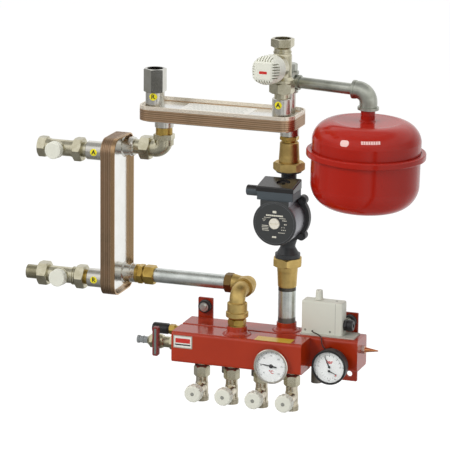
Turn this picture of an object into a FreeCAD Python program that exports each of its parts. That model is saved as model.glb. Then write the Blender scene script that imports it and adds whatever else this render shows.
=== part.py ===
import FreeCAD, Part
import math
import os

os.makedirs("parts", exist_ok=True)

V = FreeCAD.Vector
RIGHT = V(1, 0, 0)
LEFT = V(-1, 0, 0)
BACK = V(0, 1, 0)
FRONT = V(0, -1, 0)
UP = V(0, 0, 1)
DOWN = V(0, 0, -1)

# ---------------------------------------------------------------------------
# Driving dimensions, in millimetres.
# While the model is built, X = 0 and Y = 0 is the axis of the pump riser and
# Z = 0 is the top of the two header boxes. +X is right, +Y is towards the
# wall, +Z is up. export_node moves every node so that the origin is midway
# between the two wall screws, on the plane where the rubber feet meet the wall.
# ---------------------------------------------------------------------------

# clearances
RUN_GAP = 0.1        # turning or sliding fit, on the radius
BODY_GAP = 0.4       # free gap between two moving bodies
FIT_GAP = 0.15       # pipe in its socket, on the radius
PRESS_GAP = 0.05     # spigot pressed in a wall, on the radius

# header boxes
BOX_SIDE = 60.0
BOX_WALL = 3.0
BOX_CORNER = 6.0
BOX_LEFT = -200.0
FRONT_BOX_LENGTH = 258.0
REAR_BOX_LENGTH = 350.0
END_PLATE = 4.0

# columns of ports, from front to back
FRONT_COLUMN = -50.0
REAR_COLUMN = 0.0

# collars welded on the boxes
COLLAR_R = 19.2
COLLAR_HEIGHT = 16.5
COLLAR_FOOT_R = 26.0
COLLAR_FOOT_HEIGHT = 7.0
FRONT_COLLAR_X = -79.0

# wall straps and their fixings
STRAP_WIDTH = 30.0
STRAP_HEIGHT = 135.0
STRAP_THICK = 4.0
STRAP_TOP = 38.0
STRAP_XS = (-174.0, 117.4)
STRAP_HOLE_R = 5.5
STRAP_UPPER_HOLE = 22.0
STRAP_LOWER_HOLE = -83.0
RUBBER_R = 12.5
RUBBER_FRONT = 9.5
RUBBER_FOOT = 3.0
RUBBER_FOOT_R = 10.0
SCREW_R = 3.0        # over the thread that goes into the wall
SCREW_SHANK_R = 2.7  # plain shank below the head
SCREW_HEAD_FLATS = 10.0
SCREW_HEAD = 4.0
SCREW_INTO_WALL = 28.0
WASHER_R = 9.0
WASHER_THICK = 1.6

# plate heat exchangers
PLATE_LENGTH = 306.0
PLATE_WIDTH = 106.0
PLATE_CORNER = 25.0
PACK_THICK = 28.5
LIP_DEPTH = 8.0
LIP_WALL = 3.0
PLATE_COUNT = 11
PLATE_EDGE = 1.7
COVER_THICK = 2.5
BACK_COVER_INSET = 9.0
PORT_PITCH = 250.0
STUB_R = 18.0
STUB_BORE = 13.5
STUB_WELD_R = 22.0
STUB_WELD = 2.0
STUB_BEAD_AT = 15.0
UPRIGHT_LIP_X = -321.3
UPRIGHT_LOW_PORT = 78.5
REAR_PORT_LIFT = 3.0
LEVEL_BOTTOM_Z = 399.5

# nickel unions with a flat gasket
UNION_THREAD_R = 16.6
UNION_NUT_FLATS = 42.0
GASKET_THICK = 2.0
TAIL_FLANGE_R = 15.8
TAIL_FLANGE = 4.0
TAIL_NECK_R = 14.0
TAIL_BORE = 10.0
SPIGOT_R = STUB_BORE - FIT_GAP
SPIGOT_LENGTH = 15.0

# primary valves on the left
SUPPLY_STUB_END = -385.0
SUPPLY_SEAT = -404.0
SUPPLY_CAP_X = -445.0
SUPPLY_HEX_RIGHT = -467.5
SUPPLY_HEX_LEFT = -484.0
SUPPLY_HEX_FLATS = 36.5
RETURN_STUB_END = -383.0
RETURN_SEAT = -397.0
RETURN_CAP_X = -438.0
RETURN_RINGS_X = -416.0
RETURN_NUT_SEAT = -477.0
RETURN_NIPPLE_END = -510.0
RETURN_NIPPLE_R = 13.2
VALVE_BARREL_R = 15.5
VALVE_PASSAGE_R = 9.5
BONNET_R = 17.2
BONNET_FACE = 18.0
LOCK_CAP_R = 16.3
LOCK_CAP_LENGTH = 15.0
G1_HOLE_R = 15.15
THREAD_DEPTH = 18.0

# elbow and nipple between the exchangers
ELBOW_SEAT = -288.0
LINK_STUB_END = -308.0
ELBOW_R = 17.0
ELBOW_BEND = 18.0
ELBOW_COLLAR_R = 18.5
ELBOW_COLLAR_LOW = 340.0
ELBOW_HEX_LOW = 350.5
ELBOW_HEX_TOP = 361.0
ELBOW_HEX_FLATS = 36.0
LINK_NIPPLE_R = 16.0
LINK_STUB_LOW = 374.0

# upper left coupling
COUPLING_LOW = 452.7
COUPLING_TOP = 496.6
COUPLING_FLATS = 38.0

# thermostatic valve
THERMO_STUB_TOP = 459.0
THERMO_SEAT = 478.0
THERMO_RING_LOW = 489.5
THERMO_RING_TOP = 494.5
THERMO_RING_R = 23.0
THERMO_BARREL_R = 17.6
THERMO_AXIS_Z = 519.1
THERMO_BARREL_TOP = 540.0
THERMO_HEX_LOW = 556.0
THERMO_HEX_TOP = 571.0
THERMO_HEX_FLATS = 38.5
THERMO_CHAMBER_R = 13.0
THERMO_NUT_R = 22.0
THERMO_COLLAR_R = 20.0
THERMO_NUT_START = 20.0
THERMO_COLLAR_END = 26.0
THERMO_NUT_END = 57.0
SLEEVE_R = 12.0
SLEEVE_END = 92.0
HEAD_REAR = 59.5
HEAD_FRONT = 113.1
HEAD_R = 26.7
HEAD_TILT = 5.5
HEAD_NOSE = 17.0
HEAD_SHOULDER = 3.0
HEAD_SHOULDER_HALF = 19.8
HEAD_NOSE_R = 19.5
HEAD_FACE_HALF = 14.2
HEAD_WALL = 3.0
HEAD_SLOT_COUNT = 6
HEAD_SLOT_PITCH = 5.0
HEAD_SLOT_WIDTH = 1.9
HEAD_SLOT_LENGTH = 19.0
HEAD_SLOT_DEPTH = 15.5
STEM_R = 2.5
STEM_TRAVEL = 2.5

# transfer pipe to the front box
TRANSFER_R = 14.0
TRANSFER_BORE = 12.5
LOW_STUB_END = -304.5
COMPRESSION_FLATS = 34.0
ADAPTER_RING_END = -299.0
ADAPTER_HEX_END = -289.0
ADAPTER_NECK = 3.0
PIPE_NUT_END = -266.0
ELBOW_NUT_START = -122.5
ELBOW_NUT_END = -107.5
BRASS_BEND_R = 15.0
BRASS_SOCKET_R = 19.0
BRASS_ELBOW_R = 16.5
FRONT_ELBOW_BEND = 17.0
NIPPLE_HEX_FLATS = 31.0
NIPPLE_HEX_TOP = 29.7
SOCKET_LOW = 34.8
SOCKET_RING_TOP = 44.6
SOCKET_TOP = 62.0

# pump and its unions
RISER_R = 16.85
RISER_BORE = 13.6
PUMP_LENGTH = 180.0
PUMP_LOW_PORT = 137.0
PUMP_THREAD_R = 23.9
PUMP_NUT_FLATS = 52.0
PUMP_NUT_HEIGHT = 16.5
PUMP_SHOULDER = 8.0
PUMP_NECK_R = 14.5
UNION_BODY_LOW = 85.6
UNION_BODY_R = 19.0
UNION_BODY_TOP = 366.0
UPPER_HEX_LOW = 369.4
UPPER_HEX_TOP = 377.4
STATOR_R = 42.5
STATOR_FRONT = 84.0
STATOR_REAR = 26.0
FLANGE_R = 49.5
FLANGE_THICK = 12.0
LUG_R = 9.0
LUG_CIRCLE_R = 48.0
FACE_PLATE_R = 38.5
FACE_PLATE = 1.2
VENT_R = 10.3
VENT_LENGTH = 12.0
SHAFT_R = 5.0
ROTOR_R = 21.0
IMPELLER_R = 30.0
TERMINAL_LEFT = -37.0
TERMINAL_RIGHT = 34.0
TERMINAL_WEB_LEFT = -28.5
TERMINAL_WEB_RIGHT = 27.0
TERMINAL_LID_LOW = 286.0
TERMINAL_LID_FRONT = 295.0
TERMINAL_LID_BACK = 304.0
TERMINAL_FRONT = 80.0
TERMINAL_BACK = 28.0
GLAND_R = 10.0
GLAND_LENGTH = 25.0
GLAND_SPIGOT_R = 4.3
GLAND_Y = -60.0
GLAND_Z = 281.5
LID_RECESS_R = 13.0
LID_RECESS = 3.0
LID_RECESS_X = 6.5
LID_RECESS_Y = -53.0

# expansion vessel and its arm, measured as if the arm stood level and square
ARM_Z = 481.0
ARM_LENGTH = 157.5
ARM_SWING = 5.0
ARM_DROOP = 1.5
HALF_INCH_R = 10.65
HALF_INCH_BORE = 8.0
TEE_R = 13.0
TEE_BEAD_R = 15.5
TEE_BRANCH_BEAD_R = 14.2
TEE_SOCKET_GAP = 0.6
TEE_HALF = 20.0
TEE_BRANCH = 20.0
PLUG_FLATS = 22.0
PLUG_TOP = 515.5
ARM_BEND = 22.0
ARM_SOCKET = 9.0
ARM_ELBOW_R = 16.6
ARM_BEAD_R = 20.0
ARM_LEG_LOW = 446.5
NECK_R = 13.5
VESSEL_R = 101.7
VESSEL_TOP = 424.8
VESSEL_BOTTOM = 259.0
VESSEL_WALL = 1.5
RIM_R = 111.5
RIM_LOW = 357.0
RIM_HIGH = 369.0
GAS_VALVE_R = 4.0
GAS_VALVE_LENGTH = 9.0

# gauges
GAUGE_Z = -45.0
THERMOMETER_X = 2.0
THERMOMETER_R = 33.5
THERMOMETER_FACE = 102.0
THERMOMETER_DEPTH = 10.0
MANOMETER_X = 105.5
MANOMETER_R = 33.7
MANOMETER_FACE = 68.0
MANOMETER_DEPTH = 25.0
GAUGE_STEM_R = 6.0
GAUGE_STEM_INSIDE = 40.0
BEZEL_WALL = 2.5
GLASS_THICK = 1.5
DIAL_THICK = 1.0
DIAL_DEPTH = 6.0
PRESSURE_PIVOT = 0.0
TEMPERATURE_PIVOT = -8.0
NEEDLE_TAIL = 2.6

# thermostat box on the rear header
STRIP_RIGHT = 140.0
STRIP_HALF_DEPTH = 21.0
STRIP_THICK = 2.5
CASE_LEFT = 33.5
CASE_WIDTH = 81.0
CASE_FRONT = -14.0
CASE_DEPTH = 28.5
CASE_TOP = 66.0
CASE_WALL = 2.5
CASE_CORNER = 4.0
KNOB_X = 64.0
KNOB_R = 7.2
KNOB_HEIGHT = 18.5
CASE_GLAND_R = 11.0
CASE_GLAND_LENGTH = 18.5
CASE_GLAND_Z = 21.0
CAPILLARY_R = 1.1
CAPILLARY_POCKET_R = 4.0

# fittings on the box ends
DRAIN_X = -234.0
DRAIN_Z = -31.0
HANDLE_WIDTH = 11.5
HANDLE_TOP = 3.5
HANDLE_LOW = -53.0
HANDLE_THICK = 10.0
BALL_R = 8.0
BARB_R = 7.5
BARB_NECK_R = 6.5
BARB_TIP = 4.0
BARB_END = -279.0
DRAIN_NUT_RIGHT = -246.0
DRAIN_NUT_LEFT = -252.0
DRAIN_CONE_END = -257.5
VENT_Z = -23.0
VENT_NIPPLE_R = 8.0
VENT_CAP_R = 10.6
VENT_CAP_START = -236.0
VENT_CAP_END = -270.5
VENT_HEX_RIGHT = -224.0
VENT_HEX_FLATS = 18.0
POCKET_FLATS = 14.0
POCKET_NUT = 7.0
POCKET_R = 5.0
POCKET_TIP_R = 1.3
POCKET_LENGTH = 24.0

# heating circuits
GROUP_COUNT = 4
GROUP_PITCH = 60.0
FIRST_GROUP_X = -148.5
REAR_GROUP_SHIFT = 30.0
OUTLET_NUT_FLATS = 27.0
OUTLET_NUT_TOP = -69.5
OUTLET_NUT_LOW = -89.3
OUTLET_BARREL_R = 12.3
OUTLET_END_R = 13.2
OUTLET_END_LENGTH = 11.0
OUTLET_LOW = -138.0
OUTLET_BORE = 9.5
NIPPLE_R = 10.0
CAP_AXIS_Z = -112.0
CAP_FRONT = 55.0
CAP_DEPTH = 21.0
CAP_R = 17.0
CAP_FACE_R = 13.8
CAP_LOBES = 12
CAP_DOT_R = 3.7
REAR_OUTLET_R = 10.45
REAR_OUTLET_BORE = 7.9
REAR_SPIGOT_R = 9.5
REAR_OUTLET_LOW = -97.0

# values worked out from the ones above
FRONT_BOX_Y = -BOX_SIDE
FRONT_BOX_RIGHT = BOX_LEFT + FRONT_BOX_LENGTH
REAR_BOX_RIGHT = BOX_LEFT + REAR_BOX_LENGTH
BOX_MID_Z = -BOX_SIDE / 2
UPRIGHT_HIGH_PORT = UPRIGHT_LOW_PORT + PORT_PITCH
LINK_Z = UPRIGHT_HIGH_PORT + REAR_PORT_LIFT
TRANSFER_Z = UPRIGHT_LOW_PORT + REAR_PORT_LIFT
UPRIGHT_BACK_X = UPRIGHT_LIP_X - PACK_THICK
LEVEL_LEFT_PORT = -PORT_PITCH
LEVEL_TOP_Z = LEVEL_BOTTOM_Z + PACK_THICK
LEVEL_FACE_Z = LEVEL_TOP_Z - LIP_DEPTH
UPRIGHT_FACE_X = UPRIGHT_LIP_X - LIP_DEPTH
PUMP_HIGH_PORT = PUMP_LOW_PORT + PUMP_LENGTH
PUMP_Z = PUMP_LOW_PORT + PUMP_LENGTH / 2
TERMINAL_LOW = PUMP_Z + STATOR_R + FIT_GAP
WALL_Y = BOX_SIDE / 2 + STRAP_THICK + RUBBER_FOOT
GROUP_XS = [FIRST_GROUP_X + i * GROUP_PITCH for i in range(GROUP_COUNT)]
REAR_GROUP_XS = [x + REAR_GROUP_SHIFT for x in GROUP_XS]
CASE_RIGHT = CASE_LEFT + CASE_WIDTH
CASE_BACK = CASE_FRONT + CASE_DEPTH
CASE_MID_Y = CASE_FRONT + CASE_DEPTH / 2
CAPILLARY_END = V(97.0, -BOX_SIDE / 2, -20.0)
CAPILLARY_ROUTE = [
    V(56.0, CASE_FRONT, 8.0),
    V(56.0, CASE_FRONT - 5.0, 8.0),
    V(63.0, CASE_FRONT - 9.5, 6.6),
    V(72.0, CASE_FRONT - 13.5, 5.4),
    V(79.0, CASE_FRONT - 18.5, 2.5),
    V(81.0, CASE_FRONT - 21.0, -4.5),
    V(82.0, CASE_FRONT - 21.5, -12.0),
    V(86.5, CASE_FRONT - 22.5, -18.0),
    V(93.5, CASE_FRONT - 23.5, -20.0),
    V(97.0, CASE_FRONT - 20.5, -20.0),
    V(97.0, CASE_FRONT - 17.5, -20.0),
]
ORIGIN = V(sum(STRAP_XS) / 2, WALL_Y, STRAP_UPPER_HOLE)


# ---------------------------------------------------------------------------
# Shape helpers
# ---------------------------------------------------------------------------

def place(shape, base, direction):
    """Turn a shape built along +Z so that it points along direction, and move it to base."""
    turned = shape.copy()
    turned.Placement = FreeCAD.Placement(base, FreeCAD.Rotation(UP, direction))
    return turned


def cylinder(radius, start, end):
    axis = end - start
    return place(Part.makeCylinder(radius, axis.Length), start, axis)


def tube(outer, inner, start, end):
    return cylinder(outer, start, end).cut(cylinder(inner, start, end))


def cone(start_r, end_r, start, end):
    axis = end - start
    return place(Part.makeCone(start_r, end_r, axis.Length), start, axis)


def lathe(profile, base, direction):
    """Revolve a closed outline of (radius, height) points.

    An entry that holds two points is an arc through the first to the second.
    """
    edges = []
    here = V(profile[0][0], 0, profile[0][1])
    for entry in profile[1:] + [profile[0]]:
        if isinstance(entry[0], tuple):
            middle = V(entry[0][0], 0, entry[0][1])
            there = V(entry[1][0], 0, entry[1][1])
            edges.append(Part.Arc(here, middle, there).toShape())
        else:
            there = V(entry[0], 0, entry[1])
            if (there - here).Length < 1e-6:
                continue
            edges.append(Part.LineSegment(here, there).toShape())
        here = there
    face = Part.Face(Part.Wire(edges))
    return place(face.revolve(V(0, 0, 0), UP, 360), base, direction)


def corner(centre_r, centre_z, radius, start_deg, end_deg):
    """An arc entry for lathe, from its centre, radius and two angles."""
    points = []
    for angle in (0.5 * (start_deg + end_deg), end_deg):
        turn = math.radians(angle)
        points.append((centre_r + radius * math.cos(turn), centre_z + radius * math.sin(turn)))
    return (points[0], points[1])


def hexagon(flats, start, end, turn=30.0, bevel=1.2):
    """A hexagon bar with its corners bevelled at both ends, as on a nut."""
    axis = end - start
    length = axis.Length
    reach = flats / math.sqrt(3)
    points = []
    for i in range(7):
        angle = math.radians(turn + 60 * i)
        points.append(V(reach * math.cos(angle), reach * math.sin(angle), 0))
    bar = Part.Face(Part.makePolygon(points)).extrude(V(0, 0, length))
    half = flats / 2
    rim = reach + 0.01
    turned = lathe([(0, 0), (half, 0), (rim, bevel), (rim, length - bevel), (half, length), (0, length)],
                   V(0, 0, 0), UP)
    return place(bar.common(turned), start, axis)


def block(x0, x1, y0, y1, z0, z1):
    return Part.makeBox(x1 - x0, y1 - y0, z1 - z0, V(x0, y0, z0))


def rounded_block(x0, x1, y0, y1, z0, z1, radius, along):
    """A block whose four edges parallel to one axis are rounded."""
    shape = block(x0, x1, y0, y1, z0, z1)
    edges = []
    for edge in shape.Edges:
        direction = edge.tangentAt(edge.FirstParameter)
        if abs(direction.dot(along)) > 0.9:
            edges.append(edge)
    return shape.makeFillet(radius, edges)


def soften(shape, radius, keep):
    """Round the edges whose middle passes the test keep."""
    edges = []
    for edge in shape.Edges:
        middle = edge.valueAt(0.5 * (edge.FirstParameter + edge.LastParameter))
        if keep(middle):
            edges.append(edge)
    return shape.makeFillet(radius, edges)


def quarter_bend(radius, bend, corner_at, come, leave):
    """A round quarter bend about a corner point, from -come to +leave."""
    start = corner_at - come * bend
    centre = start + leave * bend
    disc = Part.Face(Part.Wire(Part.makeCircle(radius, start, come)))
    return disc.revolve(centre, come.cross(leave), 90)


def ball_space(centre, radius, passage_r):
    """A sphere cut off square along X where a passage of the given radius meets it."""
    half = math.sqrt(radius ** 2 - passage_r ** 2)
    return lathe([(0, -half), (passage_r, -half), ((radius, 0), (passage_r, half)), (0, half)], centre, RIGHT)


def union(shapes):
    whole = shapes[0].fuse(shapes[1:]) if len(shapes) > 1 else shapes[0]
    return whole.removeSplitter()


def minus(shape, cutters):
    return shape.cut(cutters)


def export_node(name, solids):
    """Write one node. Every piece in the list stays a separate solid."""
    pieces = []
    for solid in solids:
        moved = solid.copy()
        moved.translate(-ORIGIN)
        pieces.extend(moved.Solids)
    shape = pieces[0] if len(pieces) == 1 else Part.makeCompound(pieces)
    shape.exportStep(os.path.join("parts", name + ".step"))


# ---------------------------------------------------------------------------
# Header boxes and their wall fixings
# ---------------------------------------------------------------------------

def header_box(mid_y, right, openings):
    half = BOX_SIDE / 2
    inner = half - BOX_WALL
    outside = rounded_block(BOX_LEFT, right, mid_y - half, mid_y + half,
                            -BOX_SIDE, 0, BOX_CORNER, RIGHT)
    inside = rounded_block(BOX_LEFT, right, mid_y - inner, mid_y + inner,
                           -BOX_SIDE + BOX_WALL, -BOX_WALL, BOX_CORNER - BOX_WALL, RIGHT)
    return minus(outside, [inside] + openings)


def end_plate(mid_y, start, hole_z, hole_r):
    inner = BOX_SIDE / 2 - BOX_WALL
    plate = rounded_block(start, start + END_PLATE, mid_y - inner, mid_y + inner,
                          -BOX_SIDE + BOX_WALL, -BOX_WALL, BOX_CORNER - BOX_WALL, RIGHT)
    if hole_r > 0:
        hole = cylinder(hole_r, V(start - 1, mid_y, hole_z), V(start + END_PLATE + 1, mid_y, hole_z))
        plate = plate.cut(hole)
    return plate


def wall_hole(radius, x, mid_y, z, direction):
    """A cutter through the box wall that lies in the given direction."""
    return cylinder(radius, V(x, mid_y, z), V(x, mid_y, z) + direction * BOX_SIDE)


def make_headers():
    front_openings = [wall_hole(STUB_BORE, FRONT_COLLAR_X, FRONT_BOX_Y, BOX_MID_Z, UP)]
    front_openings += [wall_hole(NIPPLE_R, x, FRONT_BOX_Y, BOX_MID_Z, DOWN) for x in GROUP_XS]
    front_openings.append(wall_hole(GAUGE_STEM_R, THERMOMETER_X, FRONT_BOX_Y, GAUGE_Z, FRONT))
    front_box = header_box(FRONT_BOX_Y, FRONT_BOX_RIGHT, front_openings)

    rear_openings = [wall_hole(STUB_BORE, 0, 0, BOX_MID_Z, UP)]
    rear_openings += [wall_hole(REAR_SPIGOT_R, x, 0, BOX_MID_Z, DOWN) for x in REAR_GROUP_XS]
    rear_openings.append(wall_hole(GAUGE_STEM_R, MANOMETER_X, 0, GAUGE_Z, FRONT))
    rear_openings.append(wall_hole(CAPILLARY_POCKET_R, CAPILLARY_END.x, 0, CAPILLARY_END.z, FRONT))
    rear_box = header_box(0, REAR_BOX_RIGHT, rear_openings)

    plates = [
        end_plate(FRONT_BOX_Y, BOX_LEFT, DRAIN_Z, VENT_NIPPLE_R),
        end_plate(FRONT_BOX_Y, FRONT_BOX_RIGHT - END_PLATE, BOX_MID_Z, 0),
        end_plate(0, BOX_LEFT, VENT_Z, VENT_NIPPLE_R),
        end_plate(0, REAR_BOX_RIGHT - END_PLATE, VENT_Z, POCKET_R),
    ]
    collars = [header_collar(FRONT_COLLAR_X, FRONT_BOX_Y), header_collar(0, 0)]
    export_node("front_header_box", [front_box])
    export_node("rear_header_box", [rear_box])
    export_node("header_collars_and_plates", plates + collars)


def header_collar(x, y):
    bore = RISER_R + FIT_GAP
    profile = [(bore, 0), (COLLAR_FOOT_R, 0), (COLLAR_R + 2.5, COLLAR_FOOT_HEIGHT * 0.4),
               (COLLAR_R, COLLAR_FOOT_HEIGHT), (COLLAR_R, COLLAR_HEIGHT - 1),
               (COLLAR_R - 1, COLLAR_HEIGHT), (bore, COLLAR_HEIGHT)]
    return lathe(profile, V(x, y, 0), UP)


def wall_strap(x):
    low = STRAP_TOP - STRAP_HEIGHT
    half = STRAP_WIDTH / 2
    y0 = BOX_SIDE / 2
    strap = rounded_block(x - half, x + half, y0, y0 + STRAP_THICK, low, STRAP_TOP, 2.0, BACK)
    holes = []
    for z in (STRAP_UPPER_HOLE, STRAP_LOWER_HOLE):
        holes.append(cylinder(STRAP_HOLE_R, V(x, y0 - 1, z), V(x, y0 + STRAP_THICK + 1, z)))
    return strap.cut(holes)


def rubber_isolator(x):
    start = BOX_SIDE / 2 - RUBBER_FRONT
    neck_start = RUBBER_FRONT
    neck_end = RUBBER_FRONT + STRAP_THICK
    end = neck_end + RUBBER_FOOT
    bore = SCREW_R + FIT_GAP
    neck_r = STRAP_HOLE_R - FIT_GAP
    profile = [(bore, 0), (RUBBER_R - 2, 0), corner(RUBBER_R - 2, 2, 2, -90, 0),
               (RUBBER_R, neck_start), (neck_r, neck_start), (neck_r, neck_end),
               (RUBBER_FOOT_R, neck_end), (RUBBER_FOOT_R, end), (bore, end)]
    return lathe(profile, V(x, start, STRAP_UPPER_HOLE), BACK)


def wall_screw(x):
    rubber_start = BOX_SIDE / 2 - RUBBER_FRONT
    seat = V(x, rubber_start - WASHER_THICK, STRAP_UPPER_HOLE)
    washer = tube(WASHER_R, SCREW_R + FIT_GAP, seat, seat + BACK * WASHER_THICK)
    head = hexagon(SCREW_HEAD_FLATS, seat + FRONT * SCREW_HEAD, seat, bevel=0.8)
    wall = V(x, WALL_Y, STRAP_UPPER_HOLE)
    shank = cylinder(SCREW_SHANK_R, seat, wall)
    thread = cylinder(SCREW_R, wall, wall + BACK * SCREW_INTO_WALL)
    return [washer, union([head, shank, thread])]


def make_wall_fixings():
    export_node("wall_straps", [wall_strap(x) for x in STRAP_XS])
    export_node("rubber_isolators", [rubber_isolator(x) for x in STRAP_XS])
    screws = []
    for x in STRAP_XS:
        screws += wall_screw(x)
    export_node("wall_screws", screws)


# ---------------------------------------------------------------------------
# Plate heat exchangers. They are made lying flat, with the lip up and the
# middle of the back face at the origin, and then moved to their places.
# ---------------------------------------------------------------------------

def plate_outline(inset, low, high):
    half_x = PLATE_LENGTH / 2 - inset
    half_y = PLATE_WIDTH / 2 - inset
    radius = max(PLATE_CORNER - inset, 2.0)
    return rounded_block(-half_x, half_x, -half_y, half_y, low, high, radius, UP)


def port_places():
    half_x = PORT_PITCH / 2
    half_y = (REAR_COLUMN - FRONT_COLUMN) / 2
    return [(-half_x, -half_y), (half_x, -half_y), (-half_x, half_y), (half_x, half_y)]


def plate_pack():
    pitch = PACK_THICK / PLATE_COUNT
    core_inset = 1.0
    pieces = [plate_outline(core_inset, 0, PACK_THICK)]
    for i in range(PLATE_COUNT):
        low = i * pitch + (pitch - PLATE_EDGE) / 2
        pieces.append(plate_outline(0, low, low + PLATE_EDGE))
    pocket = plate_outline(LIP_WALL, PACK_THICK - LIP_DEPTH - COVER_THICK, PACK_THICK + 1)
    return minus(union(pieces), [pocket])


def lip_cover(ports):
    high = PACK_THICK - LIP_DEPTH
    cover = plate_outline(LIP_WALL, high - COVER_THICK, high)
    return pierce(cover, ports, high)


def back_cover(ports):
    cover = plate_outline(BACK_COVER_INSET, -COVER_THICK, 0)
    return pierce(cover, ports, 0)


def pierce(cover, ports, level):
    holes = [cylinder(r, V(x, y, level - 5), V(x, y, level + 5)) for x, y, r in ports]
    return cover.cut(holes) if holes else cover


def port_bores(ports, start, end):
    return [cylinder(STUB_BORE - 1, V(x, y, start), V(x, y, end)) for x, y, r in ports]


RISE = -1  # the upright exchanger's top end is at low X before it is turned
UPRIGHT_PLACE = FreeCAD.Placement(
    V(UPRIGHT_BACK_X, (FRONT_COLUMN + REAR_COLUMN) / 2, UPRIGHT_LOW_PORT + PORT_PITCH / 2),
    FreeCAD.Rotation(DOWN, BACK, RIGHT, "ZXY"))
LEVEL_PLACE = FreeCAD.Placement(
    V(LEVEL_LEFT_PORT + PORT_PITCH / 2, (FRONT_COLUMN + REAR_COLUMN) / 2, LEVEL_BOTTOM_Z),
    FreeCAD.Rotation())


def at(shape, placement):
    moved = shape.copy()
    moved.Placement = placement
    return moved


def port_stub(base, end, bead_at=0.0):
    """A port tube whose foot is welded to a cover plate. bead_at places a thin raised ring on it."""
    axis = end - base
    length = axis.Length
    bead = []
    if bead_at > 0:
        bead = [(STUB_R, bead_at - 0.9), (STUB_R + 1.2, bead_at - 0.3), (STUB_R + 1.2, bead_at + 0.3),
                (STUB_R, bead_at + 0.9)]
    profile = [(STUB_BORE, 0), (STUB_WELD_R, 0), (STUB_R, STUB_WELD)] + bead
    profile += [(STUB_R, length - 1), (STUB_R - 1, length), (STUB_BORE, length)]
    return lathe(profile, base, axis)


def make_exchangers():
    front_left, front_right, rear_left, rear_right = port_places()
    ring = STUB_BORE
    small = HALF_INCH_R

    # The lip faces +X on the upright one: rear ports on the lip side, front ports on the back.
    # Its rear ports sit a little higher than its front ones; high up is low X before it is turned.
    lip_ports = [(x + RISE * REAR_PORT_LIFT, y, ring) for x, y in (rear_left, rear_right)]
    back_ports = [p + (ring,) for p in (front_left, front_right)]
    pack = minus(plate_pack(), port_bores(lip_ports, 4, PACK_THICK) + port_bores(back_ports, -1, 16))
    export_node("upright_plate_pack", [at(pack, UPRIGHT_PLACE)])
    covers = [at(lip_cover(lip_ports), UPRIGHT_PLACE), at(back_cover(back_ports), UPRIGHT_PLACE)]

    # The lip faces up on the level one: front ports and the vessel port on top, rear ports below.
    lip_ports = [p + (ring,) for p in (front_left, front_right)]
    lip_ports.append(rear_right + (small,))
    back_ports = [p + (ring,) for p in (rear_left, rear_right)]
    pack = minus(plate_pack(), port_bores(lip_ports[:2], 4, PACK_THICK) + port_bores(back_ports, -1, 14))
    export_node("level_plate_pack", [at(pack, LEVEL_PLACE)])
    covers += [at(lip_cover(lip_ports), LEVEL_PLACE), at(back_cover(back_ports), LEVEL_PLACE)]
    export_node("exchanger_cover_plates", covers)

    back = UPRIGHT_BACK_X - COVER_THICK
    under = LEVEL_BOTTOM_Z - COVER_THICK
    stubs = [
        port_stub(V(back, FRONT_COLUMN, UPRIGHT_HIGH_PORT), V(SUPPLY_STUB_END, FRONT_COLUMN, UPRIGHT_HIGH_PORT)),
        port_stub(V(back, FRONT_COLUMN, UPRIGHT_LOW_PORT), V(RETURN_STUB_END, FRONT_COLUMN, UPRIGHT_LOW_PORT)),
        port_stub(V(UPRIGHT_FACE_X, REAR_COLUMN, LINK_Z), V(LINK_STUB_END, REAR_COLUMN, LINK_Z),
                  STUB_BEAD_AT),
        port_stub(V(UPRIGHT_FACE_X, REAR_COLUMN, TRANSFER_Z), V(LOW_STUB_END, REAR_COLUMN, TRANSFER_Z),
                  STUB_BEAD_AT),
        port_stub(V(LEVEL_LEFT_PORT, REAR_COLUMN, under), V(LEVEL_LEFT_PORT, REAR_COLUMN, LINK_STUB_LOW)),
        port_stub(V(0, REAR_COLUMN, under), V(0, REAR_COLUMN, UPPER_HEX_TOP)),
        port_stub(V(LEVEL_LEFT_PORT, FRONT_COLUMN, LEVEL_FACE_Z), V(LEVEL_LEFT_PORT, FRONT_COLUMN, COUPLING_LOW)),
        port_stub(V(0, FRONT_COLUMN, LEVEL_FACE_Z), V(0, FRONT_COLUMN, THERMO_STUB_TOP)),
        tube(HALF_INCH_R, HALF_INCH_BORE, V(0, REAR_COLUMN, LEVEL_FACE_Z - COVER_THICK),
             V(0, REAR_COLUMN, ARM_Z - TEE_HALF + 7)),
    ]
    export_node("exchanger_port_stubs", stubs)


# ---------------------------------------------------------------------------
# Nickel-plated unions and valves
# ---------------------------------------------------------------------------

def union_nut(seat, way, over_thread, over_tail):
    """A union nut. way points from the threaded side to the tail."""
    start = seat - way * over_thread
    end = seat + way * over_tail
    nut = hexagon(UNION_NUT_FLATS, start, end, bevel=2.2)
    shelf = seat + way * (GASKET_THICK + TAIL_FLANGE)
    threaded = cylinder(UNION_THREAD_R + RUN_GAP, start, shelf)
    hole = cylinder(TAIL_NECK_R + FIT_GAP, start, end)
    return nut.cut([threaded, hole])


def union_gasket(seat, way):
    return tube(TAIL_FLANGE_R - 0.5, TAIL_BORE, seat, seat + way * GASKET_THICK)


def union_tail(seat, way, neck_end, spigot):
    """The loose tail piece that the nut pulls up, with a spigot into the port stub."""
    start = seat + way * GASKET_THICK
    solid = union([
        cylinder(TAIL_FLANGE_R, start, start + way * TAIL_FLANGE),
        cylinder(TAIL_NECK_R, start, neck_end),
        cylinder(SPIGOT_R, start, neck_end + way * spigot),
    ])
    return solid.cut(cylinder(TAIL_BORE, start, neck_end + way * (spigot + 1)))


def valve_bonnet(x, z):
    """The side branch of a lockshield valve, towards the front."""
    axis = V(x, FRONT_COLUMN, z)
    face = axis + FRONT * BONNET_FACE
    return [
        cylinder(BONNET_R - 4, axis, axis + FRONT * (BONNET_FACE - 4)),
        cylinder(BONNET_R, axis + FRONT * (BONNET_FACE - 4), face),
        cylinder(BONNET_R - 5, face, face + FRONT * (LOCK_CAP_LENGTH - 6)),
    ]


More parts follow.
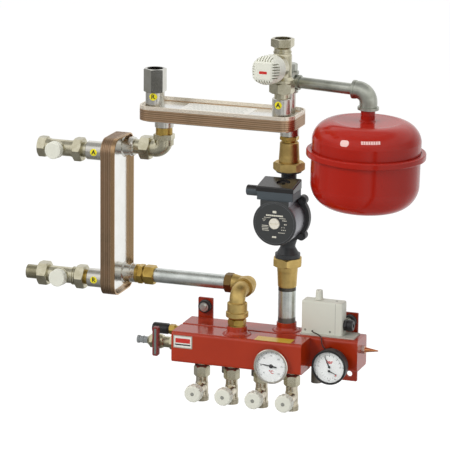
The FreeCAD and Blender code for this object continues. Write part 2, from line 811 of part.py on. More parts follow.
def lockshield_spindle(x, z):
    axis = V(x, FRONT_COLUMN, z)
    tip = axis + FRONT * (BONNET_FACE + LOCK_CAP_LENGTH - 4)
    return union([cylinder(STEM_R, axis + FRONT * 3, tip),
                  cylinder(VALVE_PASSAGE_R - 1.5, axis + FRONT * 2, axis + FRONT * 5)])


def lockshield_cutters(x, z):
    axis = V(x, FRONT_COLUMN, z)
    return [ball_space(axis, VALVE_BARREL_R - 3.5, VALVE_PASSAGE_R),
            cylinder(STEM_R + RUN_GAP, axis, axis + FRONT * 60)]


def lockshield_cap(x, z):
    start = V(x, FRONT_COLUMN, z) + FRONT * (BONNET_FACE + BODY_GAP)
    inner = BONNET_R - 5 + BODY_GAP
    depth = LOCK_CAP_LENGTH - 5
    profile = [(inner, 0), (LOCK_CAP_R, 0), (LOCK_CAP_R, LOCK_CAP_LENGTH - 2.5),
               corner(LOCK_CAP_R - 2.5, LOCK_CAP_LENGTH - 2.5, 2.5, 0, 90),
               (0, LOCK_CAP_LENGTH), (0, LOCK_CAP_LENGTH - 2.2), (STEM_R + 2, LOCK_CAP_LENGTH - 2.2),
               (STEM_R + 2, depth), (inner, depth)]
    return lathe(profile, start, FRONT)


def make_primary_valves():
    y = FRONT_COLUMN
    z = UPRIGHT_HIGH_PORT
    seat = V(SUPPLY_SEAT, y, z)
    hexed = V(SUPPLY_HEX_LEFT, y, z)
    supply = union([
        hexagon(SUPPLY_HEX_FLATS, hexed, V(SUPPLY_HEX_RIGHT, y, z), bevel=2.0),
        cone(SUPPLY_HEX_FLATS / 2 - 1, VALVE_BARREL_R, V(SUPPLY_HEX_RIGHT, y, z), V(SUPPLY_HEX_RIGHT + 8, y, z)),
        cylinder(VALVE_BARREL_R, V(SUPPLY_HEX_RIGHT, y, z), seat),
        cylinder(UNION_THREAD_R, seat + LEFT * 12, seat),
    ] + valve_bonnet(SUPPLY_CAP_X, z))
    supply = supply.cut([cylinder(G1_HOLE_R, hexed, hexed + RIGHT * THREAD_DEPTH),
                         cylinder(VALVE_PASSAGE_R, hexed, seat)] + lockshield_cutters(SUPPLY_CAP_X, z))
    export_node("supply_valve_body", [supply, lockshield_spindle(SUPPLY_CAP_X, z)])
    export_node("supply_valve_cap", [lockshield_cap(SUPPLY_CAP_X, z)])

    z = UPRIGHT_LOW_PORT
    seat = V(RETURN_SEAT, y, z)
    nut_seat = V(RETURN_NUT_SEAT, y, z)
    groove = V(RETURN_RINGS_X, y, z)
    back = union([
        cylinder(VALVE_BARREL_R, nut_seat, seat),
        cylinder(UNION_THREAD_R, nut_seat, nut_seat + RIGHT * 14),
        cylinder(UNION_THREAD_R, seat + LEFT * 12, seat),
        cylinder(VALVE_BARREL_R + 2.2, groove, groove + RIGHT * 2.2),
        cylinder(VALVE_BARREL_R + 2.2, groove + RIGHT * 4, groove + RIGHT * 6.2),
    ] + valve_bonnet(RETURN_CAP_X, z))
    back = back.cut([cylinder(VALVE_PASSAGE_R, nut_seat, seat)] + lockshield_cutters(RETURN_CAP_X, z))
    export_node("return_valve_body", [back, lockshield_spindle(RETURN_CAP_X, z)])
    export_node("return_valve_cap", [lockshield_cap(RETURN_CAP_X, z)])


def return_nipple():
    """The male-threaded tail at the far left of the lower valve."""
    seat = V(RETURN_NUT_SEAT, FRONT_COLUMN, UPRIGHT_LOW_PORT)
    start = seat + LEFT * GASKET_THICK
    end = V(RETURN_NIPPLE_END, FRONT_COLUMN, UPRIGHT_LOW_PORT)
    solid = union([
        cylinder(TAIL_FLANGE_R, start, start + LEFT * TAIL_FLANGE),
        cylinder(RETURN_NIPPLE_R, start, end),
    ])
    return solid.cut(cylinder(TAIL_BORE - 1, start, end))


def make_nickel_elbow():
    bend = V(LEVEL_LEFT_PORT, REAR_COLUMN, LINK_Z)
    seat = V(ELBOW_SEAT, REAR_COLUMN, LINK_Z)
    bend_start = bend + LEFT * ELBOW_BEND
    bend_top = bend + UP * ELBOW_BEND
    collar_low = V(LEVEL_LEFT_PORT, REAR_COLUMN, ELBOW_COLLAR_LOW)
    hex_low = V(LEVEL_LEFT_PORT, REAR_COLUMN, ELBOW_HEX_LOW)
    top = V(LEVEL_LEFT_PORT, REAR_COLUMN, ELBOW_HEX_TOP)
    elbow = union([
        cylinder(UNION_THREAD_R, seat, bend_start),
        quarter_bend(ELBOW_R, ELBOW_BEND, bend, RIGHT, UP),
        cylinder(ELBOW_COLLAR_R, collar_low, hex_low),
        hexagon(ELBOW_HEX_FLATS, hex_low, top, bevel=0.8),
    ])
    elbow = elbow.cut([cylinder(TAIL_BORE, seat, bend_start),
                       quarter_bend(TAIL_BORE, ELBOW_BEND, bend, RIGHT, UP),
                       cylinder(TAIL_BORE, bend_top, top),
                       cylinder(LINK_NIPPLE_R - 1.5 + FIT_GAP, top + DOWN * 14, top)])
    export_node("nickel_elbow", [elbow])


def make_union_parts():
    y = FRONT_COLUMN
    high = UPRIGHT_HIGH_PORT
    low = UPRIGHT_LOW_PORT
    nuts = [
        union_nut(V(SUPPLY_SEAT, y, high), RIGHT, 7, 10),
        union_nut(V(RETURN_SEAT, y, low), RIGHT, 10, 8),
        union_nut(V(RETURN_NUT_SEAT, y, low), LEFT, 12, 8),
        union_nut(V(ELBOW_SEAT, REAR_COLUMN, LINK_Z), LEFT, 13, 7.5),
        union_nut(V(0, y, THERMO_SEAT), DOWN, 11, 9),
    ]
    nuts += [outlet_nut(x) for x in GROUP_XS]
    export_node("union_nuts", nuts)

    tails = [
        union_tail(V(SUPPLY_SEAT, y, high), RIGHT, V(SUPPLY_STUB_END, y, high), SPIGOT_LENGTH),
        return_nipple(),
        union_tail(V(ELBOW_SEAT, REAR_COLUMN, LINK_Z), LEFT, V(LINK_STUB_END, REAR_COLUMN, LINK_Z), 10),
        union_tail(V(0, y, THERMO_SEAT), DOWN, V(0, y, THERMO_STUB_TOP), SPIGOT_LENGTH),
    ]
    tails += [outlet_nipple(x) for x in GROUP_XS]
    export_node("union_tails", tails)

    gaskets = [
        union_gasket(V(SUPPLY_SEAT, y, high), RIGHT),
        union_gasket(V(RETURN_SEAT, y, low), RIGHT),
        union_gasket(V(RETURN_NUT_SEAT, y, low), LEFT),
        union_gasket(V(ELBOW_SEAT, REAR_COLUMN, LINK_Z), LEFT),
        union_gasket(V(0, y, THERMO_SEAT), DOWN),
        pump_gasket(PUMP_LOW_PORT - GASKET_THICK),
        pump_gasket(PUMP_HIGH_PORT),
    ]
    gaskets += [outlet_gasket(x) for x in GROUP_XS]
    export_node("flat_gaskets", gaskets)


def make_return_coupling():
    low = V(LEVEL_LEFT_PORT, FRONT_COLUMN, COUPLING_LOW)
    top = V(LEVEL_LEFT_PORT, FRONT_COLUMN, COUPLING_TOP)
    body = union([hexagon(COUPLING_FLATS, low, top, bevel=0.8),
                  cylinder(SPIGOT_R, low + DOWN * SPIGOT_LENGTH, low)])
    body = body.cut([cylinder(G1_HOLE_R, top + DOWN * THREAD_DEPTH, top),
                     cylinder(VALVE_PASSAGE_R, low + DOWN * SPIGOT_LENGTH, top)])
    export_node("return_coupling", [body])


# ---------------------------------------------------------------------------
# Thermostatic valve
# ---------------------------------------------------------------------------

def head_slots():
    """Slots in four groups round the nose of the head, one group for each flat."""
    slots = []
    half = HEAD_SLOT_WIDTH / 2
    for quarter in range(4):
        for i in range(HEAD_SLOT_COUNT):
            offset = (i - (HEAD_SLOT_COUNT - 1) / 2) * HEAD_SLOT_PITCH
            slot = block(offset - half, offset + half, HEAD_SLOT_DEPTH, HEAD_R + 2,
                         HEAD_FRONT - HEAD_SLOT_LENGTH, HEAD_FRONT - 1.5)
            slot.rotate(V(0, 0, 0), UP, 90 * quarter)
            slots.append(slot)
    return slots


def head_way():
    """The way the head points: forward and a little up."""
    tilt = math.radians(HEAD_TILT)
    return V(0, -math.cos(tilt), math.sin(tilt))


def square_at(half, height):
    points = [V(-half, -half, height), V(half, -half, height), V(half, half, height), V(-half, half, height)]
    return Part.makePolygon(points + [points[0]])


def thermostatic_head():
    """A round head whose nose narrows to a square face with rounded corners."""
    bore = SLEEVE_R + BODY_GAP
    nose = HEAD_FRONT - HEAD_NOSE
    shoulder = HEAD_FRONT - HEAD_SHOULDER
    profile = [(bore, HEAD_REAR), (HEAD_R - 2, HEAD_REAR), corner(HEAD_R - 2, HEAD_REAR + 2, 2, -90, 0),
               (HEAD_R, nose), (HEAD_R - 2.5, shoulder), (HEAD_NOSE_R, HEAD_FRONT),
               (0, HEAD_FRONT), (0, HEAD_FRONT - HEAD_WALL), (bore, HEAD_FRONT - HEAD_WALL)]
    shell = lathe(profile, V(0, 0, 0), UP)
    squares = [square_at(HEAD_R, nose), square_at(HEAD_SHOULDER_HALF, shoulder),
               square_at(HEAD_FACE_HALF, HEAD_FRONT)]
    cone_of_four = Part.makeLoft(squares, True, True)
    barrel = block(-HEAD_R - 1, HEAD_R + 1, -HEAD_R - 1, HEAD_R + 1, HEAD_REAR - 1, nose)
    shell = shell.common(union([cone_of_four, barrel]))
    shell = shell.cut(head_slots())
    return place(shell, V(0, FRONT_COLUMN, THERMO_AXIS_Z), head_way())


def make_thermostatic_valve():
    y = FRONT_COLUMN
    seat = V(0, y, THERMO_SEAT)
    axis = V(0, y, THERMO_AXIS_Z)
    top = V(0, y, THERMO_HEX_TOP)
    way = head_way()
    shank = [
        cylinder(UNION_THREAD_R, seat, V(0, y, THERMO_RING_LOW)),
        cylinder(THERMO_RING_R, V(0, y, THERMO_RING_LOW), V(0, y, THERMO_RING_TOP)),
        cylinder(THERMO_BARREL_R, V(0, y, THERMO_RING_TOP), V(0, y, THERMO_BARREL_TOP)),
        cone(THERMO_RING_R - 1.5, THERMO_BARREL_R, V(0, y, THERMO_RING_TOP), V(0, y, THERMO_RING_TOP + 5)),
        cone(THERMO_BARREL_R, 15.5, V(0, y, THERMO_BARREL_TOP), V(0, y, THERMO_BARREL_TOP + 4)),
        cylinder(15.5, V(0, y, THERMO_BARREL_TOP), V(0, y, THERMO_HEX_LOW)),
        cylinder(17.0, V(0, y, THERMO_BARREL_TOP + 4.5), V(0, y, THERMO_BARREL_TOP + 7)),
        cone(15.5, THERMO_HEX_FLATS / 2, V(0, y, THERMO_HEX_LOW - 3.5), V(0, y, THERMO_HEX_LOW)),
        hexagon(THERMO_HEX_FLATS, V(0, y, THERMO_HEX_LOW), top, bevel=0.8),
    ]
    branch = [
        cylinder(15.0, axis, axis + way * THERMO_NUT_START),
        cylinder(THERMO_COLLAR_R - 2, axis + way * (THERMO_NUT_START - 5), axis + way * THERMO_NUT_START),
        cylinder(THERMO_COLLAR_R, axis + way * THERMO_NUT_START, axis + way * THERMO_COLLAR_END),
        cylinder(THERMO_NUT_R, axis + way * THERMO_COLLAR_END, axis + way * THERMO_NUT_END),
    ]
    body = union(shank + branch)
    cutters = [
        cylinder(G1_HOLE_R, top + DOWN * THREAD_DEPTH, top),
        cylinder(VALVE_PASSAGE_R, seat, top),
        Part.makeSphere(THERMO_CHAMBER_R, axis),
        cylinder(STEM_R + RUN_GAP, axis, axis + way * (THERMO_NUT_END + 1)),
    ]
    body = body.cut(cutters)
    sleeve = tube(SLEEVE_R, STEM_R + RUN_GAP, axis + way * THERMO_NUT_END, axis + way * SLEEVE_END)
    stem = union([
        cylinder(STEM_R, axis + way * 4, axis + way * (SLEEVE_END + 8)),
        cylinder(VALVE_PASSAGE_R - 2, axis + way * 3.5, axis + way * 6.5),
    ])
    export_node("thermostatic_valve_body", [body, sleeve])
    export_node("thermostatic_valve_stem", [stem])
    export_node("thermostatic_head", [thermostatic_head()])


# ---------------------------------------------------------------------------
# Transfer pipe, brass elbows and nipples
# ---------------------------------------------------------------------------

def pipe_nut(start, end):
    nut = hexagon(COMPRESSION_FLATS, start, end, bevel=1.8)
    return nut.cut(cylinder(TRANSFER_R + FIT_GAP, start, end))


def make_transfer_line():
    y = REAR_COLUMN
    z = TRANSFER_Z
    pipe_z = z
    stub_end = V(LOW_STUB_END, y, z)
    hex_end = V(ADAPTER_HEX_END, y, z)
    pipe_start = hex_end + LEFT * 8
    ring_end = V(ADAPTER_RING_END, y, z)
    neck_end = hex_end + RIGHT * ADAPTER_NECK
    adapter = union([
        cylinder(COMPRESSION_FLATS / 2 + 1, stub_end, ring_end),
        hexagon(COMPRESSION_FLATS, ring_end, hex_end, bevel=1.2),
        cylinder(SPIGOT_R, stub_end + LEFT * SPIGOT_LENGTH, stub_end),
        cylinder(COMPRESSION_FLATS / 2 - 1.8, hex_end, neck_end),
        cylinder(COMPRESSION_FLATS / 2, hex_end + RIGHT * 0.8, hex_end + RIGHT * 1.4),
        cylinder(COMPRESSION_FLATS / 2, hex_end + RIGHT * 2.2, neck_end),
    ])
    adapter = adapter.cut([
        cylinder(TAIL_BORE, stub_end + LEFT * SPIGOT_LENGTH, neck_end),
        cylinder(TRANSFER_R + FIT_GAP, pipe_start, neck_end),
    ])
    left_nut = pipe_nut(neck_end, V(PIPE_NUT_END, y, pipe_z))
    right_nut = pipe_nut(V(ELBOW_NUT_START, y, pipe_z), V(ELBOW_NUT_END, y, pipe_z))
    export_node("compression_fittings", [adapter, left_nut, right_nut])

    pipe_end = V(ELBOW_NUT_END + 10, y, pipe_z)
    riser = tube(RISER_R, RISER_BORE, V(0, 0, 1), V(0, 0, UNION_BODY_LOW + 12))
    export_node("steel_pipes", [tube(TRANSFER_R, TRANSFER_BORE, pipe_start, pipe_end), riser])

    bend = V(FRONT_COLLAR_X, y, pipe_z)
    socket_end = bend + FRONT * 27
    rear = union([
        cone(BRASS_SOCKET_R - 1, BRASS_BEND_R, V(ELBOW_NUT_END, y, pipe_z), V(ELBOW_NUT_END + 14, y, pipe_z)),
        cylinder(BRASS_BEND_R, V(ELBOW_NUT_END, y, pipe_z), bend),
        Part.makeSphere(BRASS_ELBOW_R, bend),
        cylinder(BRASS_ELBOW_R, bend, bend + FRONT * 10),
        cylinder(BRASS_SOCKET_R, bend + FRONT * 9, socket_end),
    ])
    rear = rear.cut([
        cylinder(TRANSFER_R + FIT_GAP, V(ELBOW_NUT_END, y, pipe_z), pipe_end),
        cylinder(TAIL_BORE, V(ELBOW_NUT_END, y, pipe_z), bend),
        Part.makeSphere(TAIL_BORE, bend),
        cylinder(TAIL_BORE, bend, socket_end),
        cylinder(BRASS_BEND_R - 1.5 + FIT_GAP, socket_end + BACK * 14, socket_end),
    ])
    export_node("brass_elbow_rear", [rear])

    corner_at = V(FRONT_COLLAR_X, FRONT_BOX_Y, pipe_z)
    leg_top = corner_at + DOWN * FRONT_ELBOW_BEND
    front_start = corner_at + BACK * FRONT_ELBOW_BEND
    socket_base = V(FRONT_COLLAR_X, FRONT_BOX_Y, NIPPLE_HEX_TOP)
    front = union([
        cylinder(BRASS_BEND_R - 1.5, socket_end + BACK * 12, socket_end),
        cylinder(BRASS_BEND_R, socket_end, front_start),
        quarter_bend(BRASS_BEND_R, FRONT_ELBOW_BEND, corner_at, FRONT, DOWN),
        cylinder(BRASS_BEND_R, leg_top, V(FRONT_COLLAR_X, FRONT_BOX_Y, SOCKET_TOP - 1)),
        lathe([(0, 0), (BRASS_BEND_R - 0.5, 0), (BRASS_SOCKET_R + 2.4, SOCKET_LOW - NIPPLE_HEX_TOP),
               (BRASS_SOCKET_R + 2.4, SOCKET_RING_TOP - NIPPLE_HEX_TOP - 1.5),
               (BRASS_SOCKET_R, SOCKET_RING_TOP - NIPPLE_HEX_TOP),
               (BRASS_SOCKET_R, SOCKET_TOP - NIPPLE_HEX_TOP - 1.5),
               (BRASS_SOCKET_R - 2, SOCKET_TOP - NIPPLE_HEX_TOP), (0, SOCKET_TOP - NIPPLE_HEX_TOP)],
              socket_base, UP),
    ])
    front = front.cut([
        cylinder(TAIL_BORE, socket_end + BACK * 12, front_start),
        quarter_bend(TAIL_BORE, FRONT_ELBOW_BEND, corner_at, FRONT, DOWN),
        cylinder(TAIL_BORE, leg_top, socket_base),
        cylinder(STUB_BORE, socket_base, socket_base + UP * 16),
    ])
    export_node("brass_elbow_front", [front])


def make_brass_nipples():
    # between the nickel elbow and the level exchanger
    link_low = V(LEVEL_LEFT_PORT, REAR_COLUMN, ELBOW_HEX_TOP)
    link_top = V(LEVEL_LEFT_PORT, REAR_COLUMN, LINK_STUB_LOW)
    link = union([
        cylinder(LINK_NIPPLE_R, link_low, link_top),
        cylinder(LINK_NIPPLE_R - 1.5, link_low + DOWN * 12, link_low),
        cylinder(SPIGOT_R, link_top, link_top + UP * SPIGOT_LENGTH),
    ])
    link = link.cut(cylinder(TAIL_BORE, link_low + DOWN * 12, link_top + UP * SPIGOT_LENGTH))

    # above the pump
    upper_low = V(0, REAR_COLUMN, UPPER_HEX_LOW)
    upper_top = V(0, REAR_COLUMN, UPPER_HEX_TOP)
    spigot_low = V(0, REAR_COLUMN, UNION_BODY_TOP)
    upper = union([
        hexagon(NIPPLE_HEX_FLATS + 1, upper_low, upper_top, bevel=1.5),
        cylinder(STUB_BORE, spigot_low + DOWN * 12, upper_low),
        cylinder(SPIGOT_R, upper_top, upper_top + UP * 12),
    ])
    upper = upper.cut(cylinder(TAIL_BORE, spigot_low + DOWN * 12, upper_top + UP * 12))

    # in the front collar
    low = V(FRONT_COLLAR_X, FRONT_BOX_Y, COLLAR_HEIGHT)
    top = V(FRONT_COLLAR_X, FRONT_BOX_Y, NIPPLE_HEX_TOP)
    collar = union([
        hexagon(NIPPLE_HEX_FLATS, low + UP * 2, top, bevel=1.5),
        cylinder(RISER_R, low + DOWN * (COLLAR_HEIGHT - 2), low + UP * 2),
        cylinder(STUB_BORE - FIT_GAP, top, top + UP * 14),
    ])
    collar = collar.cut(cylinder(TAIL_BORE, low + DOWN * (COLLAR_HEIGHT - 2), top + UP * 14))

    # tail of the lower left union
    seat = V(RETURN_SEAT, FRONT_COLUMN, UPRIGHT_LOW_PORT)
    tail = union_tail(seat, RIGHT, V(RETURN_STUB_END, FRONT_COLUMN, UPRIGHT_LOW_PORT), SPIGOT_LENGTH)

    # nipple of the air vent on the rear box
    vent_start = V(BOX_LEFT + END_PLATE, 0, VENT_Z)
    vent_ring = V(VENT_CAP_START + BODY_GAP, 0, VENT_Z)
    vent = union([
        cylinder(VENT_NIPPLE_R, vent_start, vent_ring),
        hexagon(VENT_HEX_FLATS, V(VENT_HEX_RIGHT, 0, VENT_Z), vent_ring),
        cylinder(VENT_NIPPLE_R - 2.5, vent_ring, vent_ring + LEFT * 18),
    ])
    vent = vent.cut(cylinder(2.0, vent_start, vent_ring + LEFT * 18))
    # gas valve under the vessel
    base = V(ARM_LENGTH, REAR_COLUMN, VESSEL_BOTTOM)
    gas = union([
        cylinder(GAS_VALVE_R, base, base + UP * 6),
        cylinder(GAS_VALVE_R + 2, base + DOWN * 2.5, base),
        cylinder(GAS_VALVE_R + 1, base + DOWN * GAS_VALVE_LENGTH, base + DOWN * 2.5),
    ])
    export_node("brass_nipples", [link, upper, collar, tail, vent, arm_place(gas)])


# ---------------------------------------------------------------------------
# Pump, riser and pump unions
# ---------------------------------------------------------------------------

def pump_gasket(z):
    return tube(PUMP_THREAD_R - 1.5, PUMP_NECK_R, V(0, 0, z), V(0, 0, z + GASKET_THICK))


def pump_nut(port_z, away):
    """away points from the pump to the pipe."""
    over_thread = 5.8
    start = V(0, 0, port_z) - away * over_thread
    end = start + away * PUMP_NUT_HEIGHT
    nut = hexagon(PUMP_NUT_FLATS, start, end, turn=15, bevel=2.5)
    shelf = V(0, 0, port_z) + away * (GASKET_THICK + 5)
    return nut.cut([cylinder(PUMP_THREAD_R + RUN_GAP, start, shelf),
                    cylinder(UNION_BODY_R + 0.5 + FIT_GAP, start, end)])


def union_body(port_z, away, far_z, bore_depth, bore_r):
    start = port_z + away.z * GASKET_THICK
    length = abs(far_z - start)
    profile = [(TAIL_BORE + 2, 0), (PUMP_THREAD_R - 1, 0), (PUMP_THREAD_R - 1, 5), (UNION_BODY_R + 0.5, 5),
               (UNION_BODY_R + 0.5, 18), (UNION_BODY_R, 22), (UNION_BODY_R - 1.2, length - 1.5),
               (UNION_BODY_R - 2.5, length), (bore_r, length), (bore_r, length - bore_depth),
               (TAIL_BORE + 2, length - bore_depth)]
    return lathe(profile, V(0, 0, start), away)


def make_pump_unions():
    lower = union_body(PUMP_LOW_PORT, DOWN, UNION_BODY_LOW, 14, RISER_R + FIT_GAP)
    upper = union_body(PUMP_HIGH_PORT, UP, UNION_BODY_TOP, 14, STUB_BORE + FIT_GAP)
    export_node("pump_union_bodies", [lower, upper])
    export_node("pump_union_nuts", [pump_nut(PUMP_LOW_PORT, DOWN), pump_nut(PUMP_HIGH_PORT, UP)])


def make_pump():
    centre = V(0, 0, PUMP_Z)
    flange_front = centre + FRONT * STATOR_REAR
    flange_back = centre + FRONT * (STATOR_REAR - FLANGE_THICK)
    volute_r = 38.0
    cavity_r = IMPELLER_R + 2

    neck_low = V(0, 0, PUMP_LOW_PORT)
    neck_high = V(0, 0, PUMP_HIGH_PORT)
    casing = [
        cylinder(volute_r, centre + BACK * 14, flange_back),
        cone(volute_r - 12, volute_r, centre + BACK * 22, centre + BACK * 14),
        cylinder(FLANGE_R, flange_back, flange_front),
        cylinder(PUMP_NECK_R, neck_low, neck_high),
        cylinder(PUMP_THREAD_R, neck_low, neck_low + UP * (5.8 + PUMP_SHOULDER)),
        cylinder(PUMP_THREAD_R, neck_high + DOWN * (5.8 + 3), neck_high),
        cone(PUMP_NECK_R + 7, PUMP_NECK_R, neck_low + UP * (5.8 + PUMP_SHOULDER), neck_low + UP * 26),
        cone(PUMP_NECK_R, 24.0, neck_high + DOWN * 30, neck_high + DOWN * 62),
        cone(24.0, PUMP_NECK_R, neck_low + UP * 62, neck_low + UP * 30),
    ]
    screws = []
    for i in range(4):
        angle = math.radians(45 + 90 * i)
        offset = V(LUG_CIRCLE_R * math.cos(angle), 0, LUG_CIRCLE_R * math.sin(angle))
        casing.append(cylinder(LUG_R, flange_back + offset + BACK * 4, flange_front + offset))
        face = flange_front + offset
        screws.append(union([
            cylinder(4.8, face, face + FRONT * 5),
            cylinder(SCREW_R, face + BACK * (FLANGE_THICK - 2), face),
        ]))
    volute = union(casing)
    holes = [cylinder(TAIL_BORE + 2, neck_low, centre + DOWN * 20),
             cylinder(TAIL_BORE + 2, centre + UP * 20, neck_high),
             cylinder(cavity_r, centre + BACK * 8, flange_front)]
    for i in range(4):
        angle = math.radians(45 + 90 * i)
        offset = V(LUG_CIRCLE_R * math.cos(angle), 0, LUG_CIRCLE_R * math.sin(angle))
        holes.append(cylinder(SCREW_R + FIT_GAP, flange_front + offset + BACK * FLANGE_THICK,
                              flange_front + offset))
    export_node("pump_volute", [volute.cut(holes)])
    export_node("pump_head_screws", screws)

    # motor: a shell, the can that keeps the water in, and the turning parts
    face = centre + FRONT * STATOR_FRONT
    shell_back = flange_front
    depth = STATOR_FRONT - STATOR_REAR
    can_r = ROTOR_R + 2.5
    shell = lathe([(can_r, 0), (STATOR_R, 0), (STATOR_R, depth - 3), corner(STATOR_R - 3, depth - 3, 3, 0, 90),
                   (VENT_R + BODY_GAP, depth), (VENT_R + BODY_GAP, depth - VENT_LENGTH - BODY_GAP),
                   (can_r, depth - VENT_LENGTH - BODY_GAP)],
                  shell_back, FRONT)
    web = block(TERMINAL_WEB_LEFT, TERMINAL_WEB_RIGHT, -STATOR_FRONT + 1, -STATOR_REAR,
                PUMP_Z + 20, TERMINAL_LOW)
    web = web.cut(cylinder(STATOR_R - 4, shell_back + BACK, face + FRONT))
    shell = union([shell, web])
    recess = tube(FACE_PLATE_R + FIT_GAP, VENT_R + BODY_GAP, face, face + BACK * FACE_PLATE)
    plate = tube(FACE_PLATE_R, VENT_R + BODY_GAP + 0.2, face + BACK * FACE_PLATE, face)
    export_node("pump_motor_housing", [shell.cut(recess), plate])

    can_depth = depth - VENT_LENGTH - 2
    bearing_r = SHAFT_R + 4
    can = lathe([(can_r - FIT_GAP, 0), (can_r - FIT_GAP, can_depth), (SHAFT_R + RUN_GAP, can_depth),
                 (SHAFT_R + RUN_GAP, can_depth - 6), (can_r - 1, can_depth - 6), (can_r - 1, 0)],
                shell_back, FRONT)
    bearings = [
        tube(bearing_r, SHAFT_R + RUN_GAP, shell_back, shell_back + FRONT * 6),
        tube(bearing_r, SHAFT_R + RUN_GAP, shell_back + FRONT * (can_depth - 12),
             shell_back + FRONT * (can_depth - 6)),
    ]
    bearing_plate = tube(can_r - 1 - FIT_GAP, bearing_r, shell_back, shell_back + FRONT * 4)
    export_node("pump_rotor_can", [can, bearing_plate] + bearings)

    rotor = union([
        cylinder(SHAFT_R, centre + BACK * 2, shell_back + FRONT * can_depth),
        cylinder(ROTOR_R, shell_back + FRONT * 8, shell_back + FRONT * (can_depth - 14)),
    ])
    impeller_back = centre + BACK * 2
    impeller_front = centre + FRONT * (STATOR_REAR - 8)
    blades = []
    for i in range(6):
        blade = block(SHAFT_R + 2, IMPELLER_R - 0.5, -1, 1, 1, 13)
        blade.rotate(V(0, 0, 0), UP, 60 * i)
        blades.append(place(blade, impeller_back, FRONT))
    wheel = union([
        cylinder(IMPELLER_R, impeller_front + BACK * 2, impeller_front),
        cylinder(SHAFT_R + 3, impeller_back + FRONT * 1, impeller_front),
    ] + blades)
    wheel = wheel.cut(cylinder(SHAFT_R, centre + BACK * 3, impeller_front + FRONT))
    export_node("pump_rotor", [rotor, wheel])

    slot = block(-VENT_R, VENT_R, -1.2, 1.2, VENT_LENGTH + 0.6, VENT_LENGTH + 3)
    vent = lathe([(0, 0), (VENT_R - 1, 0), (VENT_R - 1, VENT_LENGTH - 1), (VENT_R, VENT_LENGTH - 1),
                  (VENT_R, VENT_LENGTH + 1), (VENT_R - 1, VENT_LENGTH + 2), (0, VENT_LENGTH + 2)],
                 V(0, 0, 0), UP)
    vent = place(vent.cut(slot), face + BACK * VENT_LENGTH, FRONT)
    export_node("pump_vent_screw", [vent])
    make_pump_terminals()


def make_pump_terminals():
    front = -TERMINAL_FRONT
    back = -TERMINAL_BACK
    wall = 2.5
    outside = rounded_block(TERMINAL_LEFT, TERMINAL_RIGHT, front, back, TERMINAL_LOW, TERMINAL_LID_LOW, 3, UP)
    inside = block(TERMINAL_LEFT + wall, TERMINAL_RIGHT - wall, front + wall, back - wall,
                   TERMINAL_LOW + wall, TERMINAL_LID_LOW)
    gland_at = V(TERMINAL_LEFT, GLAND_Y, GLAND_Z)
    box = outside.cut(inside)

    points = [V(TERMINAL_LEFT - 1, front - 1, TERMINAL_LID_LOW),
              V(TERMINAL_LEFT - 1, front - 1, TERMINAL_LID_FRONT),
              V(TERMINAL_LEFT - 1, back, TERMINAL_LID_BACK),
              V(TERMINAL_LEFT - 1, back, TERMINAL_LID_LOW)]
    wedge = Part.Face(Part.makePolygon(points + [points[0]]))
    lid = wedge.extrude(V(TERMINAL_RIGHT - TERMINAL_LEFT + 2, 0, 0))
    top_edge = 0.5 * (TERMINAL_LID_FRONT + TERMINAL_LID_LOW)
    lid = soften(lid, 2.5, lambda p: p.z > top_edge)
    rise = (TERMINAL_LID_BACK - TERMINAL_LID_FRONT) / (back - front + 1)
    slope = V(0, -rise, 1).normalize()
    recess_at = V(LID_RECESS_X, LID_RECESS_Y, TERMINAL_LID_FRONT + rise * (LID_RECESS_Y - front + 1))
    recess = cylinder(LID_RECESS_R, recess_at - slope * LID_RECESS, recess_at + slope * LID_RECESS)
    screw = cylinder(3.5, recess_at - slope * 11, recess_at + slope)
    lid = lid.cut([recess, screw])

    flange = gland_at + LEFT * (1 + PRESS_GAP)
    block_length = GLAND_LENGTH - 1 - PRESS_GAP
    gland = union([
        cylinder(GLAND_SPIGOT_R, gland_at, flange),
        lathe([(0, 0), (GLAND_R, 0), (GLAND_R, block_length - 2), corner(GLAND_R - 2, block_length - 2, 2, 0, 90),
               (0, block_length)], flange, LEFT),
    ])
    gland = gland.cut(cylinder(3.0, gland_at, gland_at + LEFT * (GLAND_LENGTH + 1)))
    export_node("pump_terminal_box", [box, lid, gland])


# ---------------------------------------------------------------------------
# Expansion vessel on its arm
# ---------------------------------------------------------------------------

def arm_place(shape):
    """Swing a piece built along +X from the tee forward, and let the arm hang a little."""
    pivot = V(0, REAR_COLUMN, ARM_Z)
    turned = shape.copy()
    turned.rotate(pivot, BACK, ARM_DROOP)
    turned.rotate(pivot, UP, -ARM_SWING)
    return turned


